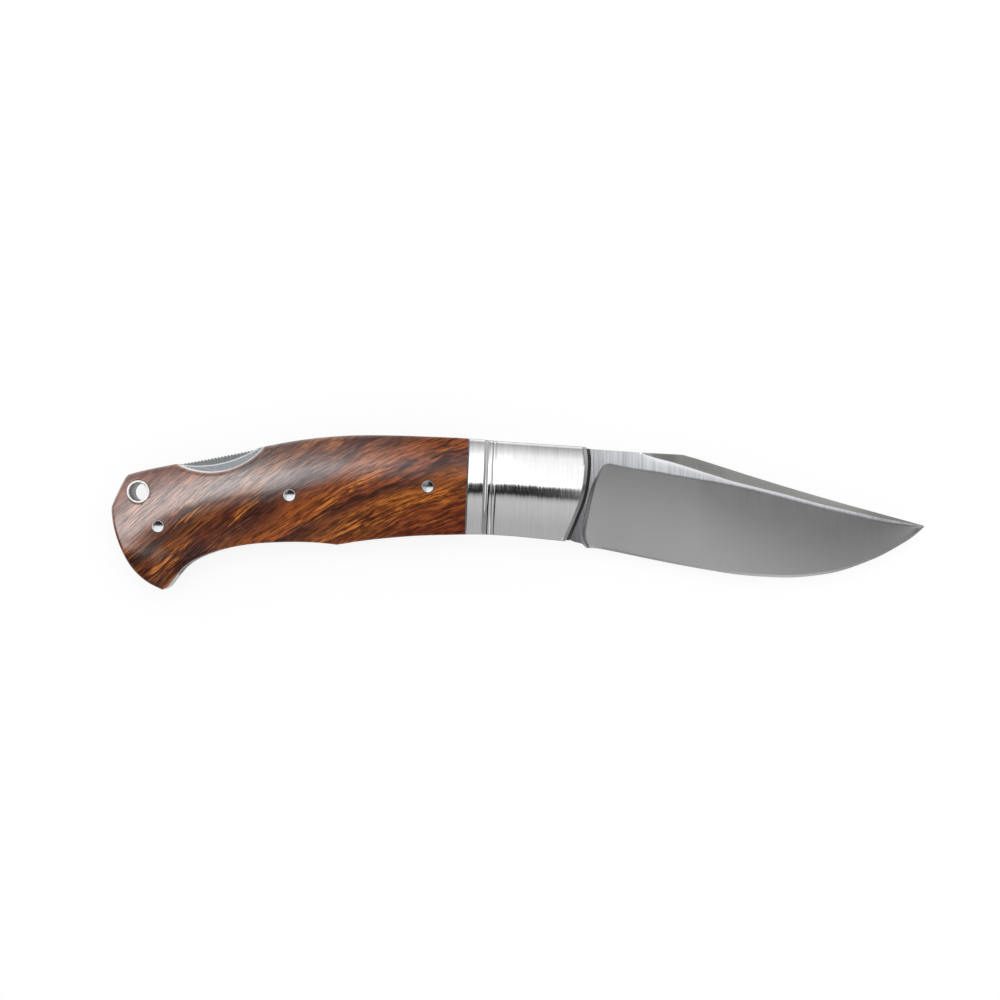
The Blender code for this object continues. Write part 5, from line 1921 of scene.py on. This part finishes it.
@dataclass
class Studio:
    """A plain pale floor, soft light and the camera of the photograph."""

    frame_width: float = 0.2414
    distance: float = 0.6085
    plane: float = 0.0085
    centre: tuple[float, float] = (-0.01207, -0.00182)
    sensor: float = 36.0
    clip_start: float = 0.01
    floor_level: float = -0.00024
    floor_half: float = 1.6
    floor_glow: float = 0.86
    lamp_height: float = 1.1
    eye_height: float = 0.61
    lamp_size: tuple[float, float] = (0.9, 0.50)
    lamp_edge: float = 0.012
    lamp_watts: float = 3.4
    peak: float = 2.5

    def floor(self) -> bpy.types.Object:
        """Lay the floor just under the lower bolster's crown.

        Returns:
            The floor.
        """
        corners = np.array(((-1, -1, 0), (1, -1, 0), (1, 1, 0), (-1, 1, 0))) * self.floor_half
        corners[:, 2] = self.floor_level
        mesh = bpy.data.meshes.new("floor")
        mesh.from_pydata(corners.tolist(), [], [[0, 1, 2, 3]])
        floor = bpy.data.objects.new("floor", mesh)
        bpy.context.scene.collection.objects.link(floor)
        material, tree, shader = new_material("floor_paper")
        speck = tree.noise(tree.place(), (60.0, 60.0, 60.0), 2.0, 0.5)
        paper = tree.blend(speck, (0.86, 0.86, 0.86), (0.89, 0.89, 0.89))
        rays = tree.add("ShaderNodeLightPath").outputs
        seen = tree.either(rays["Is Camera Ray"], rays["Is Glossy Ray"])
        seen = tree.either(seen, rays["Is Transmission Ray"])
        for word, value in (
            ("Roughness", 0.9), ("Specular IOR Level", 0.1), ("Emission Color", (1.0, 1.0, 1.0)),
            ("Base Color", tree.blend(seen, paper, (0.17, 0.17, 0.17))),
            ("Emission Strength", tree.times(seen, self.floor_glow)),
        ):
            tree.feed(shader[word], value)
        mesh.materials.append(material)
        return floor

    def greys(
        self, tree: Tree, tilt: bpy.types.NodeSocket, stops: tuple[tuple[float, float], ...]
    ) -> bpy.types.NodeSocket:
        """Make a brightness that changes with the tilt.

        Args:
            tree: The world's tree.
            tilt: The tilt.
            stops: Tilts from -0.5 to 0.5, and the brightness at each, up to the peak.

        Returns:
            The brightness as a share of the peak.
        """
        return tree.ramp(tree.span(tilt, -0.5, 0.5), [
            (place + 0.5, (level / self.peak,) * 3) for place, level in stops
        ])

    def over_handle(
        self, tree: Tree, aside: bpy.types.NodeSocket, tilt: bpy.types.NodeSocket
    ) -> bpy.types.NodeSocket:
        """Light the handle: a softbox that ends at a dark gap, with a pale wall below it.

        The gap rises towards the nose. Over the wood the wall is dark.

        Args:
            tree: The world's tree.
            aside: How far a reflected ray leans towards +X.
            tilt: How far it leans towards +Y.

        Returns:
            The brightness.
        """
        gap = tree.plus(tree.times(aside, 0.4), 0.008)
        steel = self.greys(tree, tree.minus(tilt, gap), (
            (-0.5, 0.62), (-0.3, 0.72), (-0.16, 0.76), (-0.11, 0.66), (-0.075, 0.40), (-0.043, 0.04),
            (-0.008, 0.01), (0.004, 0.02), (0.014, 0.15), (0.024, 0.6), (0.036, 1.7), (0.05, 2.1),
            (0.38, 2.4), (0.45, 1.7), (0.5, 1.45),
        ))
        wood = self.greys(tree, tilt, (
            (-0.5, 0.05), (-0.15, 0.03), (0.0, 0.03), (0.014, 0.06), (0.030, 2.2), (0.30, 2.5),
            (0.42, 1.4), (0.5, 1.0),
        ))
        joint = tree.minus(aside, tree.times(tree.math("MINIMUM", tilt, 0.0), 0.14))
        past_wood = tree.either(tree.span(joint, -0.030, -0.016), tree.span(aside, -0.40, -0.55))
        return tree.blend(past_wood, wood, steel)

    def over_blade(
        self, tree: Tree, aside: bpy.types.NodeSocket, tilt: bpy.types.NodeSocket
    ) -> bpy.types.NodeSocket:
        """Light the blade: a dimmer softbox that ends softly, and lower towards the tip, where all dims.

        Args:
            tree: The world's tree.
            aside: How far a reflected ray leans towards +X.
            tilt: How far it leans towards +Y.

        Returns:
            The brightness.
        """
        lowered = tree.times(tree.minus(tree.math("MINIMUM", aside, 0.2), 0.04), 0.15)
        steel = self.greys(tree, tree.plus(tilt, lowered), (
            (-0.5, 1.3), (-0.36, 0.8), (-0.24, 0.85), (-0.15, 0.86), (-0.10, 0.66), (-0.07, 0.42),
            (-0.058, 0.16), (-0.048, 0.16), (-0.03, 0.38), (-0.010, 0.42), (0.004, 0.48), (0.014, 0.75),
            (0.020, 1.1), (0.05, 1.45), (0.38, 1.5), (0.5, 1.4),
        ))
        dimmed = tree.times(tree.span(aside, 0.06, 0.16, 1.0, 0.78), tree.span(aside, 0.17, 0.30, 1.0, 0.6))
        dimmed = tree.times(dimmed, tree.span(aside, 0.30, 0.50, 1.0, 0.45))
        return tree.blend(1.0, steel, dimmed, "MULTIPLY")

    def world(self) -> None:
        """Set a white surround that metal reflects as a studio.

        Straight above are the lights over the handle and over the blade; everything near the horizon is
        grey. Tilt is how far a reflected ray leans towards +Y, aside how far towards +X.
        """
        world = bpy.data.worlds.new("studio")
        bpy.context.scene.world = world
        world.use_nodes = True
        tree = Tree(world.node_tree)
        shader = world.node_tree.nodes["Background"].inputs
        aside, tilt, rise = tree.split(tree.add("ShaderNodeTexCoord").outputs["Generated"])
        handle, blade = self.over_handle(tree, aside, tilt), self.over_blade(tree, aside, tilt)
        studio = tree.add("ShaderNodeVectorMath", operation="SCALE")
        tree.feed(studio.inputs[0], tree.blend(tree.span(aside, 0.0302, 0.0330), handle, blade))
        tree.feed(studio.inputs["Scale"], tree.span(tilt, 0.5, 0.67, self.peak, self.peak * 0.34))
        horizon = tree.ramp(tree.span(tilt, -0.3, 0.3), [
            (place, (level, level, level)) for place, level in ((0.0, 0.10), (0.5, 0.38), (1.0, 0.65))
        ])
        ends = tree.span(tree.math("ABSOLUTE", aside), 0.3, 0.6, 0.0, 0.36)
        horizon = tree.blend(1.0, horizon, ends, "LIGHTEN")
        mirrored = tree.blend(tree.span(rise, 0.45, 0.75), horizon, studio.outputs[0])
        rays = tree.add("ShaderNodeLightPath").outputs
        white = tree.either(rays["Is Camera Ray"], rays["Is Transmission Ray"])
        colour = tree.blend(rays["Is Glossy Ray"], (0.64, 0.64, 0.64), mirrored)
        tree.feed(shader["Color"], tree.blend(white, colour, (1.0, 1.0, 1.0)))
        tree.feed(shader["Strength"], 1.0)

    def lamp(self) -> None:
        """Hang a soft rectangular lamp that faces the floor, its near edge a little behind the knife.

        Metal reflects the surround in its place.
        """
        light = bpy.data.lights.new("softbox", "AREA")
        light.shape = "RECTANGLE"
        light.size, light.size_y = self.lamp_size
        light.energy = self.lamp_watts
        lamp = bpy.data.objects.new("softbox", light)
        near = self.lamp_edge * self.lamp_height / self.eye_height
        lamp.location = (0.0, near + self.lamp_size[1] / 2, self.lamp_height)
        lamp.visible_glossy = False
        bpy.context.scene.collection.objects.link(lamp)

    def camera(self) -> None:
        """Hang the camera straight over the knife, with the knife's back at the picture's top."""
        data = bpy.data.cameras.new("camera")
        data.sensor_width = self.sensor
        data.lens = self.sensor * self.distance / self.frame_width
        data.clip_start = self.clip_start
        camera = bpy.data.objects.new("camera", data)
        camera.location = (*self.centre, self.plane + self.distance)
        bpy.context.scene.collection.objects.link(camera)
        bpy.context.scene.camera = camera

    def build(self) -> None:
        """Set the view, the floor, the world, the lamp and the camera."""
        bpy.context.scene.view_settings.view_transform = "Standard"
        self.floor()
        self.world()
        self.lamp()
        self.camera()


def main() -> None:
    """Build every sub-assembly in order and report its pieces."""
    logging.basicConfig(level=logging.INFO, format="%(name)s: %(message)s")
    for group in (brushed_group, wear_and_shade_group, patch_group, wood_group, arc_group):
        group()
    Studio().build()
    handle = Handle()
    for kind in (Frame, LockWork, Blade, Bolsters, Scales, Pins):
        for piece in kind(handle).dress():
            LOG.info("%s: %s, %d faces", kind.__name__, piece.name, len(piece.data.polygons))


if __name__ == "__main__":
    main()
